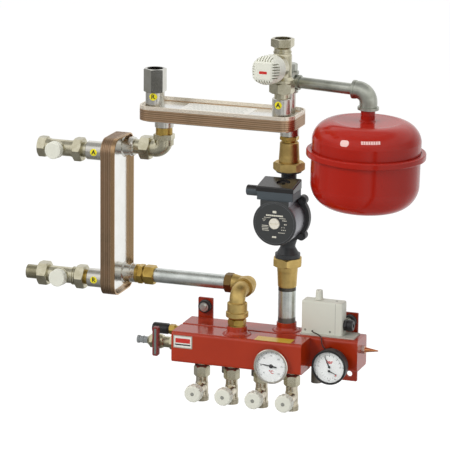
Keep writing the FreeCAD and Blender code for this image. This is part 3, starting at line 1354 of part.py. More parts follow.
def make_vessel_arm():
    middle = V(0, REAR_COLUMN, ARM_Z)
    bead = 5.0
    tee_low = middle + DOWN * TEE_HALF
    tee_top = middle + UP * TEE_HALF
    branch_end = middle + RIGHT * TEE_BRANCH
    socket = HALF_INCH_R + TEE_SOCKET_GAP
    tee = union([
        cylinder(TEE_R, tee_low, tee_top),
        cylinder(TEE_BEAD_R, tee_low, tee_low + UP * bead),
        cylinder(TEE_BEAD_R, tee_top + DOWN * bead, tee_top),
        cylinder(TEE_R - 0.5, middle, branch_end),
        cylinder(TEE_BRANCH_BEAD_R, branch_end + LEFT * bead, branch_end),
    ])
    tee = tee.cut([
        cylinder(socket, tee_low, tee_low + UP * 9),
        cylinder(socket, tee_top + DOWN * 9, tee_top),
        cylinder(socket, branch_end + LEFT * 8, branch_end),
        cylinder(HALF_INCH_BORE, tee_low, tee_top),
        cylinder(HALF_INCH_BORE, middle, branch_end),
    ])
    plug_top = V(0, REAR_COLUMN, PLUG_TOP)
    plug = union([
        cylinder(HALF_INCH_R, tee_top + DOWN * 8.5, tee_top + UP),
        hexagon(PLUG_FLATS, tee_top + UP, plug_top, bevel=1.5),
    ])

    bend_at = middle + RIGHT * ARM_LENGTH
    elbow_start = bend_at + LEFT * (ARM_BEND + ARM_SOCKET)
    bend_start = bend_at + LEFT * ARM_BEND
    leg_low = V(bend_at.x, bend_at.y, ARM_LEG_LOW)
    leg_top = bend_at + DOWN * ARM_BEND
    elbow = union([
        cylinder(ARM_BEAD_R - 2.5, elbow_start, elbow_start + RIGHT * bead),
        cylinder(ARM_ELBOW_R, elbow_start, bend_start),
        quarter_bend(ARM_ELBOW_R, ARM_BEND, bend_at, RIGHT, DOWN),
        cylinder(ARM_ELBOW_R, leg_low, leg_top),
        cylinder(ARM_BEAD_R, leg_low, leg_low + UP * bead),
    ])
    elbow = elbow.cut([
        cylinder(HALF_INCH_R + FIT_GAP, elbow_start, elbow_start + RIGHT * 10),
        cylinder(HALF_INCH_BORE, elbow_start, bend_start),
        quarter_bend(HALF_INCH_BORE, ARM_BEND, bend_at, RIGHT, DOWN),
        cylinder(HALF_INCH_BORE, leg_low, leg_top),
        cylinder(NECK_R - 1.5 + FIT_GAP, leg_low, leg_low + UP * 12),
    ])
    pipe = tube(HALF_INCH_R, HALF_INCH_BORE, branch_end + LEFT * 7.5, elbow_start + RIGHT * 9.5)
    export_node("vessel_arm", [arm_place(piece) for piece in (tee, plug, elbow, pipe)])


def shell_profile(outer, top, bottom, shoulder_r, shoulder_h, foot_r, foot_h):
    """Right half of the vessel as one closed outline, with elliptical corners made of two arcs."""
    half = math.sqrt(0.5)
    return [
        (0, bottom), (outer - foot_r, bottom),
        ((outer - foot_r + foot_r * half, bottom + foot_h * (1 - half)), (outer, bottom + foot_h)),
        (outer, top - shoulder_h),
        ((outer - shoulder_r + shoulder_r * half, top - shoulder_h * (1 - half)), (outer - shoulder_r, top)),
        (0, top),
    ]


def make_vessel():
    base = V(ARM_LENGTH, REAR_COLUMN, 0)
    shoulder_r = 44.0
    shoulder_h = 34.0
    foot_r = 52.0
    foot_h = 46.0
    mid = (RIM_LOW + RIM_HIGH) / 2
    big = RIM_R + 10
    outside = lathe(shell_profile(VESSEL_R, VESSEL_TOP, VESSEL_BOTTOM, shoulder_r, shoulder_h, foot_r, foot_h),
                    base, UP)
    inside = lathe(shell_profile(VESSEL_R - VESSEL_WALL, VESSEL_TOP - VESSEL_WALL, VESSEL_BOTTOM + VESSEL_WALL,
                                 shoulder_r, shoulder_h, foot_r, foot_h), base, UP)
    wall = outside.cut(inside)
    seam = 1.0
    above = block(base.x - big, base.x + big, base.y - big, base.y + big, mid + seam, VESSEL_TOP + 10)
    below = block(base.x - big, base.x + big, base.y - big, base.y + big, VESSEL_BOTTOM - 10, mid - seam)
    neck_low = base + UP * (VESSEL_TOP - 2)
    neck_top = V(base.x, base.y, ARM_LEG_LOW)
    bore = cylinder(HALF_INCH_BORE, neck_low + DOWN * 4, neck_top + UP * 12)
    neck = union([
        cylinder(NECK_R, neck_low, neck_top),
        cylinder(NECK_R - 1.5, neck_top, neck_top + UP * 11),
        cone(NECK_R + 4, NECK_R, base + UP * (VESSEL_TOP - 1), base + UP * (VESSEL_TOP + 3)),
    ])
    ring = tube(RIM_R - 3, VESSEL_R - VESSEL_WALL, base + UP * (mid + seam), base + UP * (RIM_HIGH - 2))
    upper = union([wall.common(above), neck, ring]).cut(bore)
    groove_z = (VESSEL_TOP + ARM_LEG_LOW) / 2
    groove = tube(NECK_R + 2, NECK_R - 0.8, base + UP * (groove_z - 0.8), base + UP * (groove_z + 0.8))
    upper = upper.cut(groove)
    ring = tube(RIM_R - 3, VESSEL_R - VESSEL_WALL, base + UP * (RIM_LOW + 2), base + UP * (mid - seam))
    gas_hole = cylinder(GAS_VALVE_R, base + UP * (VESSEL_BOTTOM - 5), base + UP * (VESSEL_BOTTOM + 8))
    lower = union([wall.common(below), ring]).cut(gas_hole)
    clamp = lathe([(VESSEL_R + 1.5, RIM_LOW), (RIM_R - 2.5, RIM_LOW), corner(RIM_R - 2.5, RIM_LOW + 2.5, 2.5, -90, 0),
                   (RIM_R, RIM_HIGH - 2.5), corner(RIM_R - 2.5, RIM_HIGH - 2.5, 2.5, 0, 90),
                   (VESSEL_R + 1.5, RIM_HIGH), (VESSEL_R + 1.5, RIM_HIGH - 1.8), (RIM_R - 2.8, RIM_HIGH - 1.8),
                   (RIM_R - 2.8, RIM_LOW + 1.8), (VESSEL_R + 1.5, RIM_LOW + 1.8)], base, UP)
    export_node("vessel_shells", [arm_place(piece) for piece in (upper, lower, clamp)])

    sheet = 2 * seam
    depth = 30.0
    bag = VESSEL_R - VESSEL_WALL - 4
    skin = lathe([(0, mid + depth), (bag - 40, mid + depth), ((bag - 10, mid + depth * 0.7), (bag, mid + seam)),
                  (RIM_R - 3.2, mid + seam), (RIM_R - 3.2, mid - seam), (bag - sheet, mid - seam),
                  ((bag - 10 - sheet, mid + depth * 0.7 - sheet), (bag - 40, mid + depth - sheet)),
                  (0, mid + depth - sheet)], base, UP)
    export_node("vessel_diaphragm", [arm_place(skin)])



# ---------------------------------------------------------------------------
# Gauges
# ---------------------------------------------------------------------------

def gauge_case(x, mount_y, face_y, radius, depth, stem_inside):
    """A round case, open to the front, with its stem to the back. mount_y is the box face."""
    back_y = face_y + depth
    inner = radius - BEZEL_WALL
    lip = inner - 1.5
    shell = lathe([(0, 0), (radius - 5, 0), corner(radius - 5, 3, 3, -90, -30),
                   (radius - 1, 5), (radius - 1, depth - 5), (radius, depth - 4.5), (radius, depth - 1),
                   (radius - 1, depth), (lip, depth), (lip, depth - 1), (inner, depth - 1),
                   (inner, depth - 1 - DIAL_DEPTH), (0, depth - 1 - DIAL_DEPTH)],
                  V(x, back_y, GAUGE_Z), FRONT)
    stem_end = V(x, mount_y + stem_inside, GAUGE_Z)
    stem = cylinder(GAUGE_STEM_R - FIT_GAP, V(x, back_y, GAUGE_Z), stem_end)
    return [shell, stem]


def gauge_dial(x, face_y, radius, pins):
    level = face_y + 1 + DIAL_DEPTH
    dial = cylinder(radius - BEZEL_WALL - FIT_GAP, V(x, level - DIAL_THICK, GAUGE_Z), V(x, level, GAUGE_Z))
    holes = [cylinder(1.0 + RUN_GAP, V(x, level - 5, GAUGE_Z + dz), V(x, level + 1, GAUGE_Z + dz)) for dz in pins]
    return dial.cut(holes)


def gauge_glass(x, face_y, radius):
    front = face_y + 1
    return cylinder(radius - BEZEL_WALL - FIT_GAP, V(x, front, GAUGE_Z), V(x, front + GLASS_THICK, GAUGE_Z))


def pointer(x, z, face_y, tip_length, tail_length, angle):
    """A pointer on its pin. angle is counted from straight up, clockwise as seen from the front."""
    level = face_y + 1 + DIAL_DEPTH - DIAL_THICK
    thick = 0.6
    height = 1.4
    blade = Part.Face(Part.makePolygon([
        V(-1.2, 0, -tail_length), V(1.2, 0, -tail_length), V(1.0, 0, 0), V(0.35, 0, tip_length),
        V(-0.35, 0, tip_length), V(-1.0, 0, 0), V(-1.2, 0, -tail_length)])).extrude(V(0, -thick, 0))
    blade.rotate(V(0, 0, 0), BACK, angle)
    blade.translate(V(x, level - height, z))
    hub = cylinder(2.2, V(x, level - height - thick - 0.4, z), V(x, level - height + 0.4, z))
    pin = cylinder(1.0, V(x, level - height, z), V(x, level + 1.0, z))
    return union([blade, hub, pin])


def make_gauges():
    box_front = FRONT_BOX_Y - BOX_SIDE / 2
    face = -THERMOMETER_FACE
    case = gauge_case(THERMOMETER_X, box_front, face, THERMOMETER_R, THERMOMETER_DEPTH, GAUGE_STEM_INSIDE)
    pin_hole = cylinder(1.3, V(THERMOMETER_X, face, GAUGE_Z), V(THERMOMETER_X, face + DIAL_DEPTH + 2.6, GAUGE_Z))
    export_node("thermometer_case", [union(case).cut(pin_hole)])
    rear_front = -BOX_SIDE / 2
    face_m = -MANOMETER_FACE
    case = gauge_case(MANOMETER_X, rear_front, face_m, MANOMETER_R, MANOMETER_DEPTH, GAUGE_STEM_INSIDE - 5)
    pins = [PRESSURE_PIVOT, TEMPERATURE_PIVOT]
    holes = [cylinder(1.3, V(MANOMETER_X, face_m, GAUGE_Z + dz), V(MANOMETER_X, face_m + DIAL_DEPTH + 2.6, GAUGE_Z + dz))
             for dz in pins]
    export_node("manometer_case", [union(case).cut(holes)])
    export_node("gauge_dials", [gauge_dial(THERMOMETER_X, face, THERMOMETER_R, [0.0]),
                                gauge_dial(MANOMETER_X, face_m, MANOMETER_R, pins)])
    export_node("gauge_glasses", [gauge_glass(THERMOMETER_X, face, THERMOMETER_R),
                                  gauge_glass(MANOMETER_X, face_m, MANOMETER_R)])
    export_node("thermometer_pointer", [pointer(THERMOMETER_X, GAUGE_Z, face, 23.0, 11.0, -83.0)])
    export_node("pressure_pointer",
                [pointer(MANOMETER_X, GAUGE_Z + PRESSURE_PIVOT, face_m, 22.0, NEEDLE_TAIL, -26.0)])
    export_node("temperature_pointer",
                [pointer(MANOMETER_X, GAUGE_Z + TEMPERATURE_PIVOT, face_m, 16.0, NEEDLE_TAIL, 112.0)])


# ---------------------------------------------------------------------------
# Thermostat box with its capillary
# ---------------------------------------------------------------------------

def cord_tube(points, radius):
    """Straight runs joined by arcs, each as large as its two runs allow."""
    edges = []
    here = points[0]
    total = 0.0
    radii = []
    for i in range(1, len(points) - 1):
        before = points[i] - points[i - 1]
        after = points[i + 1] - points[i]
        reach = 0.45 * min(before.Length, after.Length)
        a = V(before).normalize()
        b = V(after).normalize()
        turn = a.getAngle(b)
        arc_r = reach / math.tan(turn / 2)
        radii.append(arc_r)
        start = points[i] - a * reach
        end = points[i] + b * reach
        inward = (b - a).normalize()
        middle = points[i] + inward * (arc_r / math.cos(turn / 2) - arc_r)
        edges.append(Part.LineSegment(here, start).toShape())
        edges.append(Part.Arc(start, middle, end).toShape())
        total += (start - here).Length + arc_r * turn
        here = end
    edges.append(Part.LineSegment(here, points[-1]).toShape())
    total += (points[-1] - here).Length
    path = Part.Wire(edges)
    first = points[1] - points[0]
    ring = Part.Wire(Part.makeCircle(radius, points[0], first))
    solid = path.makePipeShell([ring], True, False)
    expected = math.pi * radius ** 2 * total
    print("capillary length %.1f, volume ratio %.4f, radii %s"
          % (total, solid.Volume / expected, [round(r, 1) for r in radii]))
    return solid


def make_thermostat():
    strip = rounded_block(CASE_LEFT - 0.5, STRIP_RIGHT, -STRIP_HALF_DEPTH, STRIP_HALF_DEPTH,
                          0, STRIP_THICK, 3, UP)
    outside = block(CASE_LEFT, CASE_RIGHT, CASE_FRONT, CASE_BACK, STRIP_THICK, CASE_TOP)
    outside = soften(outside, CASE_CORNER, lambda p: p.z > STRIP_THICK + 1)
    inside = block(CASE_LEFT + CASE_WALL, CASE_RIGHT - CASE_WALL, CASE_FRONT + CASE_WALL, CASE_BACK - CASE_WALL,
                   STRIP_THICK, CASE_TOP - CASE_WALL)
    shaft = cylinder(STEM_R + RUN_GAP, V(KNOB_X, CASE_MID_Y, CASE_TOP - 20), V(KNOB_X, CASE_MID_Y, CASE_TOP + 1))
    groove = block(CASE_LEFT - 1, CASE_RIGHT + 1, CASE_BACK - 8.6, CASE_BACK - 7.8, STRIP_THICK, CASE_TOP + 1)
    groove = groove.cut(block(CASE_LEFT + 0.8, CASE_RIGHT - 0.8, CASE_BACK - 10, CASE_BACK - 6,
                              STRIP_THICK - 1, CASE_TOP - 0.8))
    cord_hole = cylinder(CAPILLARY_R + FIT_GAP, CAPILLARY_ROUTE[0] + BACK * 5, CAPILLARY_ROUTE[0] + FRONT)
    case = outside.cut([inside, shaft, groove, cord_hole])
    gland_at = V(CASE_RIGHT, CASE_MID_Y, CASE_GLAND_Z)
    gland = union([
        hexagon(2 * CASE_GLAND_R - 3, gland_at, gland_at + RIGHT * 6, bevel=0.8),
        cylinder(CASE_GLAND_R - 3, gland_at + RIGHT * 6, gland_at + RIGHT * 8),
        lathe([(0, 0), (CASE_GLAND_R, 0), (CASE_GLAND_R, 7), corner(CASE_GLAND_R - 3, 7, 3, 0, 90), (0, 10)],
              gland_at + RIGHT * 8, RIGHT),
    ])
    gland_end = gland_at + RIGHT * CASE_GLAND_LENGTH
    gland = gland.cut(cylinder(4.0, gland_end + LEFT * 10, gland_end))
    export_node("thermostat_base", [strip, gland])
    export_node("thermostat_case", [case])

    knob_low = V(KNOB_X, CASE_MID_Y, CASE_TOP + BODY_GAP)
    knob = lathe([(0, 0), (KNOB_R + 1, 0), (KNOB_R + 1, 2), (KNOB_R, 3), (KNOB_R - 0.7, KNOB_HEIGHT - 1.5),
                  corner(KNOB_R - 2.2, KNOB_HEIGHT - 1.5, 1.5, 0, 90), (0, KNOB_HEIGHT)], knob_low, UP)
    flutes = []
    for i in range(12):
        angle = math.radians(30 * i)
        spot = knob_low + V((KNOB_R + 0.5) * math.cos(angle), (KNOB_R + 0.5) * math.sin(angle), 4)
        flutes.append(cylinder(1.0, spot, spot + UP * KNOB_HEIGHT))
    knob = knob.cut(flutes)
    shaft = cylinder(STEM_R, knob_low + DOWN * 16, knob_low)
    export_node("thermostat_knob", [union([knob, shaft])])

    export_node("capillary_tube", [cord_tube(CAPILLARY_ROUTE, CAPILLARY_R)])


# ---------------------------------------------------------------------------
# Fittings on the ends of the boxes
# ---------------------------------------------------------------------------

def make_drain_valve():
    y = FRONT_BOX_Y
    middle = V(DRAIN_X, y, DRAIN_Z)
    inner_end = V(BOX_LEFT + END_PLATE, y, DRAIN_Z)
    hex_right = V(BOX_LEFT, y, DRAIN_Z)
    nut_right = V(DRAIN_NUT_RIGHT, y, DRAIN_Z)
    nut_left = V(DRAIN_NUT_LEFT, y, DRAIN_Z)
    cone_end = V(DRAIN_CONE_END, y, DRAIN_Z)
    barb_end = V(BARB_END, y, DRAIN_Z)
    passage = 5.0
    pack_r = 8.0
    pack_top = 17.0
    body = union([
        cylinder(VENT_NIPPLE_R, inner_end, hex_right),
        hexagon(24.0, hex_right, hex_right + LEFT * 12, bevel=1.2),
        cylinder(10.5, hex_right, nut_right),
        lathe([(0, -9.5), (10.0, -9.5), ((14.0, 0), (10.0, 9.5)), (0, 9.5)], middle, RIGHT),
        cylinder(pack_r, middle, middle + FRONT * pack_top),
    ])
    body = body.cut([
        cylinder(passage, inner_end, nut_left),
        ball_space(middle, BALL_R + RUN_GAP, passage),
        cylinder(STEM_R + RUN_GAP, middle, middle + FRONT * (pack_top + 1)),
    ])
    barb_nut = union([hexagon(24.0, nut_right, nut_left, bevel=0.8), cone(12.0, BARB_R, nut_left, cone_end)])
    barb_nut = barb_nut.cut(cylinder(passage, cone_end, nut_right))
    length = (cone_end - barb_end).Length
    ridge = length * 0.4
    tip = length - BARB_TIP
    barb = lathe([(3.0, 0), (BARB_NECK_R, 0), (BARB_NECK_R, ridge), (BARB_R, ridge + 0.5), (BARB_NECK_R, ridge + 3),
                  (BARB_NECK_R, tip), (BARB_R, tip), (BARB_R, length), (3.0, length)], cone_end, LEFT)
    export_node("drain_valve_body", [body, barb_nut, barb])

    ball = Part.makeSphere(BALL_R, middle).cut(cylinder(passage - 1, middle + UP * 20, middle + DOWN * 20))
    stem_end = middle + FRONT * (pack_top + BODY_GAP)
    stem = cylinder(STEM_R, middle + FRONT * (BALL_R - 2), stem_end)
    half = HANDLE_WIDTH / 2
    handle_y = stem_end.y
    bar = rounded_block(middle.x - half, middle.x + half, handle_y - HANDLE_THICK, handle_y,
                        HANDLE_LOW, HANDLE_TOP, 3.0, BACK)
    bar = soften(bar, 1.0, lambda p: p.y < handle_y - HANDLE_THICK + 0.1)
    channel = rounded_block(middle.x - half + 3.2, middle.x + half - 3.2, handle_y - HANDLE_THICK - 1,
                            handle_y - HANDLE_THICK + 0.6, HANDLE_LOW + 2.5, HANDLE_TOP - 2.5, 2.0, BACK)
    bar = bar.cut(channel)
    export_node("drain_handle", [bar, union([ball, stem])])


def make_vent_cap():
    start = V(VENT_CAP_START, 0, VENT_Z)
    length = VENT_CAP_START - VENT_CAP_END
    inner = VENT_NIPPLE_R - 2.5 + BODY_GAP
    cap = lathe([(inner, 0), (VENT_CAP_R - 1.4, 0), (VENT_CAP_R - 1.4, 2), (VENT_CAP_R, 3),
                 (VENT_CAP_R, length - 4), corner(VENT_CAP_R - 4, length - 4, 4, 0, 90),
                 (0, length), (0, 20), (inner, 20)], start, LEFT)
    export_node("air_vent_cap", [cap])


def make_sensor_pocket():
    inner = V(REAR_BOX_RIGHT - END_PLATE, 0, VENT_Z)
    face = V(REAR_BOX_RIGHT, 0, VENT_Z)
    shoulder = face + RIGHT * POCKET_NUT
    nut = hexagon(POCKET_FLATS, face, shoulder, bevel=1.0)
    pocket = union([
        nut,
        cylinder(POCKET_R, inner + LEFT * 30, face),
    ])
    tip = shoulder + RIGHT * POCKET_LENGTH
    end = union([cone(POCKET_R, POCKET_TIP_R, shoulder, tip),
                 Part.makeSphere(POCKET_TIP_R, tip)])
    export_node("sensor_pocket", [pocket, end])


# ---------------------------------------------------------------------------
# Heating circuits
# ---------------------------------------------------------------------------

def outlet_nut(x):
    top = V(x, FRONT_BOX_Y, OUTLET_NUT_TOP)
    low = V(x, FRONT_BOX_Y, OUTLET_NUT_LOW)
    nut = hexagon(OUTLET_NUT_FLATS, low, top, turn=15, bevel=1.8)
    return nut.cut(cylinder(NIPPLE_R + FIT_GAP, low, top))


def outlet_nipple(x):
    top = V(x, FRONT_BOX_Y, -BOX_SIDE + BOX_WALL)
    low = V(x, FRONT_BOX_Y, OUTLET_NUT_LOW + 8)
    return tube(NIPPLE_R - PRESS_GAP, NIPPLE_R - 3, low, top)


def outlet_gasket(x):
    top = V(x, FRONT_BOX_Y, OUTLET_NUT_TOP + 2.6)
    low = V(x, FRONT_BOX_Y, OUTLET_NUT_TOP)
    return tube(NIPPLE_R + 3.6, NIPPLE_R, low, top)


def outlet_valve_body(x):
    y = FRONT_BOX_Y
    top = V(x, y, OUTLET_NUT_LOW + 8)
    shoulder = V(x, y, OUTLET_NUT_LOW)
    end = V(x, y, OUTLET_LOW)
    axis = V(x, y, CAP_AXIS_Z)
    bonnet = CAP_FRONT - CAP_DEPTH
    body = union([
        cylinder(NIPPLE_R, shoulder, top),
        cylinder(OUTLET_BARREL_R - 0.9, V(x, y, OUTLET_NUT_LOW - 10), shoulder),
        cone(OUTLET_BARREL_R, OUTLET_BARREL_R - 0.9, V(x, y, OUTLET_NUT_LOW - 14), V(x, y, OUTLET_NUT_LOW - 10)),
        cylinder(OUTLET_BARREL_R, V(x, y, OUTLET_LOW + 8), V(x, y, OUTLET_NUT_LOW - 14)),
        cylinder(OUTLET_END_R, end, end + UP * OUTLET_END_LENGTH),
        cylinder(OUTLET_BARREL_R - 0.5, axis, axis + FRONT * (bonnet - 8)),
        cone(OUTLET_BARREL_R - 0.5, 9.0, axis + FRONT * (bonnet - 8), axis + FRONT * (bonnet - 4)),
        cylinder(9.0, axis, axis + FRONT * (bonnet + 9)),
    ])
    return body.cut([
        cylinder(NIPPLE_R - 3, axis, top),
        cylinder(OUTLET_BORE, end, axis),
        Part.makeSphere(OUTLET_BORE, axis),
        cylinder(STEM_R + RUN_GAP, axis, axis + FRONT * (CAP_FRONT + 1)),
    ])


def hand_cap(x):
    """A scalloped hand cap on its spindle. The outline is measured back from its front face."""
    axis = V(x, FRONT_BOX_Y, CAP_AXIS_Z)
    face = axis + FRONT * CAP_FRONT
    inner = 9.0 + BODY_GAP
    hollow = CAP_DEPTH - 10.5
    profile = [(0, 1.0), (CAP_DOT_R, 1.0), (CAP_DOT_R, 0), (CAP_FACE_R, 0),
               ((CAP_R - 0.9, 2.0), (CAP_R, 5.5)), (CAP_R, CAP_DEPTH - 5), (CAP_R - 1.8, CAP_DEPTH - 1),
               (inner + 2.5, CAP_DEPTH), (inner, CAP_DEPTH), (inner, hollow), (0, hollow)]
    cap = lathe(profile, V(0, 0, 0), UP)
    flutes = []
    flute_r = 3.4
    for i in range(CAP_LOBES):
        angle = 2 * math.pi * i / CAP_LOBES
        spot = V((CAP_R + flute_r - 1.3) * math.cos(angle), (CAP_R + flute_r - 1.3) * math.sin(angle), -1)
        flutes.append(cylinder(flute_r, spot, spot + UP * (CAP_DEPTH + 2)))
    cap = place(cap.cut(flutes), face, BACK)
    spindle_start = face + BACK * hollow
    spindle_end = axis + FRONT * 5
    spindle = union([cylinder(STEM_R, spindle_start, spindle_end),
                     cylinder(OUTLET_BORE - 4, spindle_end + FRONT * 2.5, spindle_end)])
    return [cap, spindle]


def rear_outlet(x):
    """A plain pipe end below the box, with a thinner spigot through the wall of the box."""
    low = V(x, 0, REAR_OUTLET_LOW)
    wall = V(x, 0, -BOX_SIDE)
    inside = wall + UP * BOX_WALL
    outlet = union([
        cylinder(REAR_OUTLET_R, low, wall),
        cylinder(REAR_SPIGOT_R - PRESS_GAP, wall, inside),
    ])
    return outlet.cut(cylinder(REAR_OUTLET_BORE, low, inside))


def make_circuits():
    export_node("outlet_valve_bodies", [outlet_valve_body(x) for x in GROUP_XS])
    for i, x in enumerate(GROUP_XS):
        export_node("hand_cap_%d" % (i + 1), hand_cap(x))
    export_node("rear_outlets", [rear_outlet(x) for x in REAR_GROUP_XS])


make_headers()
make_wall_fixings()
make_exchangers()
make_primary_valves()
make_nickel_elbow()
make_union_parts()
make_return_coupling()
make_thermostatic_valve()
make_transfer_line()
make_brass_nipples()
make_pump_unions()
make_pump()
make_vessel_arm()
make_vessel()
make_gauges()
make_thermostat()
make_drain_valve()
make_vent_cap()
make_sensor_pocket()
make_circuits()
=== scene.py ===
"""Looks for a wall-hung floor heating manifold: finishes, printed dials, labels, threads and studio light."""

import logging
import math
from dataclasses import dataclass
from enum import Enum
from typing import Iterable, Optional, Sequence, Union

import bmesh
import bpy
from mathutils import Matrix, Vector
from mathutils.bvhtree import BVHTree


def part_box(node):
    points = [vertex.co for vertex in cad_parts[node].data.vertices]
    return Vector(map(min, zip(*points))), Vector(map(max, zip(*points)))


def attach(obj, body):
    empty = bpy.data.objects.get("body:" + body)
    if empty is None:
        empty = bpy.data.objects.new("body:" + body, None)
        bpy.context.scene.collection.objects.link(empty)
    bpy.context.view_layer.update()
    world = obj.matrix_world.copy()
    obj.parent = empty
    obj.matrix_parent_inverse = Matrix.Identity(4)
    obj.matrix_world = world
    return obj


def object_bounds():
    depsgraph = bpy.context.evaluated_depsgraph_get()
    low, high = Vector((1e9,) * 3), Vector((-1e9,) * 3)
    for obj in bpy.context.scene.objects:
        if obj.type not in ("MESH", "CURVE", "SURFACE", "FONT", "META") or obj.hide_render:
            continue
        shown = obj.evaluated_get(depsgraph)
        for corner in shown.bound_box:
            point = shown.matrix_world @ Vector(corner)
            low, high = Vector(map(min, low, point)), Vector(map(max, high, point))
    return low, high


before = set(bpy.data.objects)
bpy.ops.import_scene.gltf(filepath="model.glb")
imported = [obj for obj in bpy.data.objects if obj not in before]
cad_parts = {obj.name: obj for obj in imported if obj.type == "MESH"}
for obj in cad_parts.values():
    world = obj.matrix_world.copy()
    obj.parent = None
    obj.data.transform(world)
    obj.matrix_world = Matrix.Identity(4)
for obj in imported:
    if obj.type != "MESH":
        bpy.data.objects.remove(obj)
CAD_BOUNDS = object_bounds()

log = logging.getLogger("manifold")

MM = 0.001
MAIN = "manifold"
Colour = tuple[float, float, float]
Point = tuple[float, float, float]
Outline = Sequence[tuple[float, float]]
Box = tuple[Vector, Vector]
Socket = bpy.types.NodeSocket
Value = Union[float, Sequence[float], Socket]


def tint(red: int, green: int, blue: int) -> Colour:
    """Turn a display colour of 0 to 255 into a linear one.

    Args:
        red: Red share.
        green: Green share.
        blue: Blue share.

    Returns:
        The linear colour that the shader sockets take.
    """
    def linear(share: int) -> float:
        """Undo the display curve for one share."""
        level = share / 255
        return level / 12.92 if level <= 0.04045 else ((level + 0.055) / 1.055) ** 2.4
    return linear(red), linear(green), linear(blue)


class Axis(Enum):
    """The three axes of the row frame."""

    X = 0
    Y = 1
    Z = 2


class Facing(Enum):
    """The way a mark or a turned detail points."""

    FRONT = (0.0, -1.0, 0.0)
    UP = (0.0, 0.0, 1.0)
    RIGHT = (1.0, 0.0, 0.0)

    def matrix(self, at: Vector) -> Matrix:
        """Give the transform that takes +Z to this way, with +Y kept upright.

        Args:
            at: Where the local origin goes.

        Returns:
            The 4 by 4 transform.
        """
        way = Vector(self.value)
        upright = Vector((0, 1, 0)) if self is Facing.UP else Vector((0, 0, 1))
        across = upright.cross(way).normalized()
        turn = Matrix((across, way.cross(across), way)).transposed().to_4x4()
        return Matrix.Translation(at) @ turn


# -----------------------------------------------------------
# Shader graph helpers and the shared effects
# -----------------------------------------------------------

class Graph:
    """A short way to write a node tree."""

    def __init__(self, tree: bpy.types.NodeTree) -> None:
        """Wrap a node tree."""
        self.tree = tree

    def add(self, kind: str, **settings: object) -> bpy.types.Node:
        """Add a node.

        Args:
            kind: Blender's name of the node's type.
            **settings: Its plain properties.

        Returns:
            The node.
        """
        node = self.tree.nodes.new(kind)
        for name, setting in settings.items():
            setattr(node, name, setting)
        return node

    def feed(self, socket: Socket, value: Value) -> None:
        """Link a socket to another one, or set its value.

        Args:
            socket: The input socket.
            value: A number, a colour or vector, or an output socket.
        """
        if isinstance(value, Socket):
            self.tree.links.new(value, socket)
        elif isinstance(value, (int, float)):
            socket.default_value = value
        else:
            size = len(socket.default_value)
            socket.default_value = (list(value) + [1.0])[:size]

    def maths(self, operation: str, first: Value, second: Value = 0.0, clamp: bool = False) -> Socket:
        """Add a Math node.

        Args:
            operation: Its operation.
            first: First value.
            second: Second value, where the operation takes one.
            clamp: Whether the result is held between 0 and 1.

        Returns:
            The result.
        """
        node = self.add("ShaderNodeMath", operation=operation, use_clamp=clamp)
        self.feed(node.inputs[0], first)
        self.feed(node.inputs[1], second)
        return node.outputs[0]

    def mix(self, share: Value, first: Value, second: Value) -> Socket:
        """Mix two colours.

        Args:
            share: Share of the second colour.
            first: First colour.
            second: Second colour.

        Returns:
            The mixed colour.
        """
        node = self.add("ShaderNodeMix", data_type="RGBA")
        self.feed(node.inputs[0], share)
        self.feed(node.inputs[6], first)
        self.feed(node.inputs[7], second)
        return node.outputs[2]

    def spread(self, value: Value, low: float, high: float, to_low: float = 0.0,
               to_high: float = 1.0) -> Socket:
        """Map a value from one range to another, held at both ends.

        Args:
            value: The value.
            low: Start of its range.
            high: End of its range.
            to_low: Result at the start.
            to_high: Result at the end.

        Returns:
            The mapped value.
        """
        node = self.add("ShaderNodeMapRange", clamp=True)
        for socket, number in zip(node.inputs, (value, low, high, to_low, to_high)):
            self.feed(socket, number)
        return node.outputs[0]

    def place(self) -> Socket:
        """Give Object coordinates."""
        return self.add("ShaderNodeTexCoord").outputs["Object"]

    def share(self, vector: Value, axis: Axis) -> Socket:
        """Give one share of a vector.

        Args:
            vector: The vector.
            axis: Which share.

        Returns:
            The share.
        """
        node = self.add("ShaderNodeSeparateXYZ")
        self.feed(node.inputs[0], vector)
        return node.outputs[axis.value]

    def join(self, *shares: Value) -> Socket:
        """Make a vector.

        Args:
            *shares: Its X, Y and Z shares; those left out are 0.

        Returns:
            The vector.
        """
        node = self.add("ShaderNodeCombineXYZ")
        for socket, share in zip(node.inputs, shares):
            self.feed(socket, share)
        return node.outputs[0]

    def noise(self, vector: Value, scale: Value, detail: float = 3.0, rough: float = 0.55) -> Socket:
        """Add a three-dimensional noise.

        Args:
            vector: Where it is read.
            scale: Features per metre.
            detail: Octaves.
            rough: Weight of the finer octaves.

        Returns:
            A value from 0 to 1.
        """
        node = self.add("ShaderNodeTexNoise", noise_dimensions="3D")
        self.feed(node.inputs["Vector"], vector)
        self.feed(node.inputs["Scale"], scale)
        node.inputs["Detail"].default_value = detail
        node.inputs["Roughness"].default_value = rough
        return node.outputs["Fac"]

    def use(self, group: bpy.types.NodeTree, **inputs: Value) -> bpy.types.Node:
        """Place a shared effect.

        Args:
            group: Its node group.
            **inputs: Values by lower-case socket name.

        Returns:
            The group's node.
        """
        node = self.add("ShaderNodeGroup", node_tree=group)
        for name, value in inputs.items():
            self.feed(node.inputs[name.replace("_", " ").title()], value)
        return node


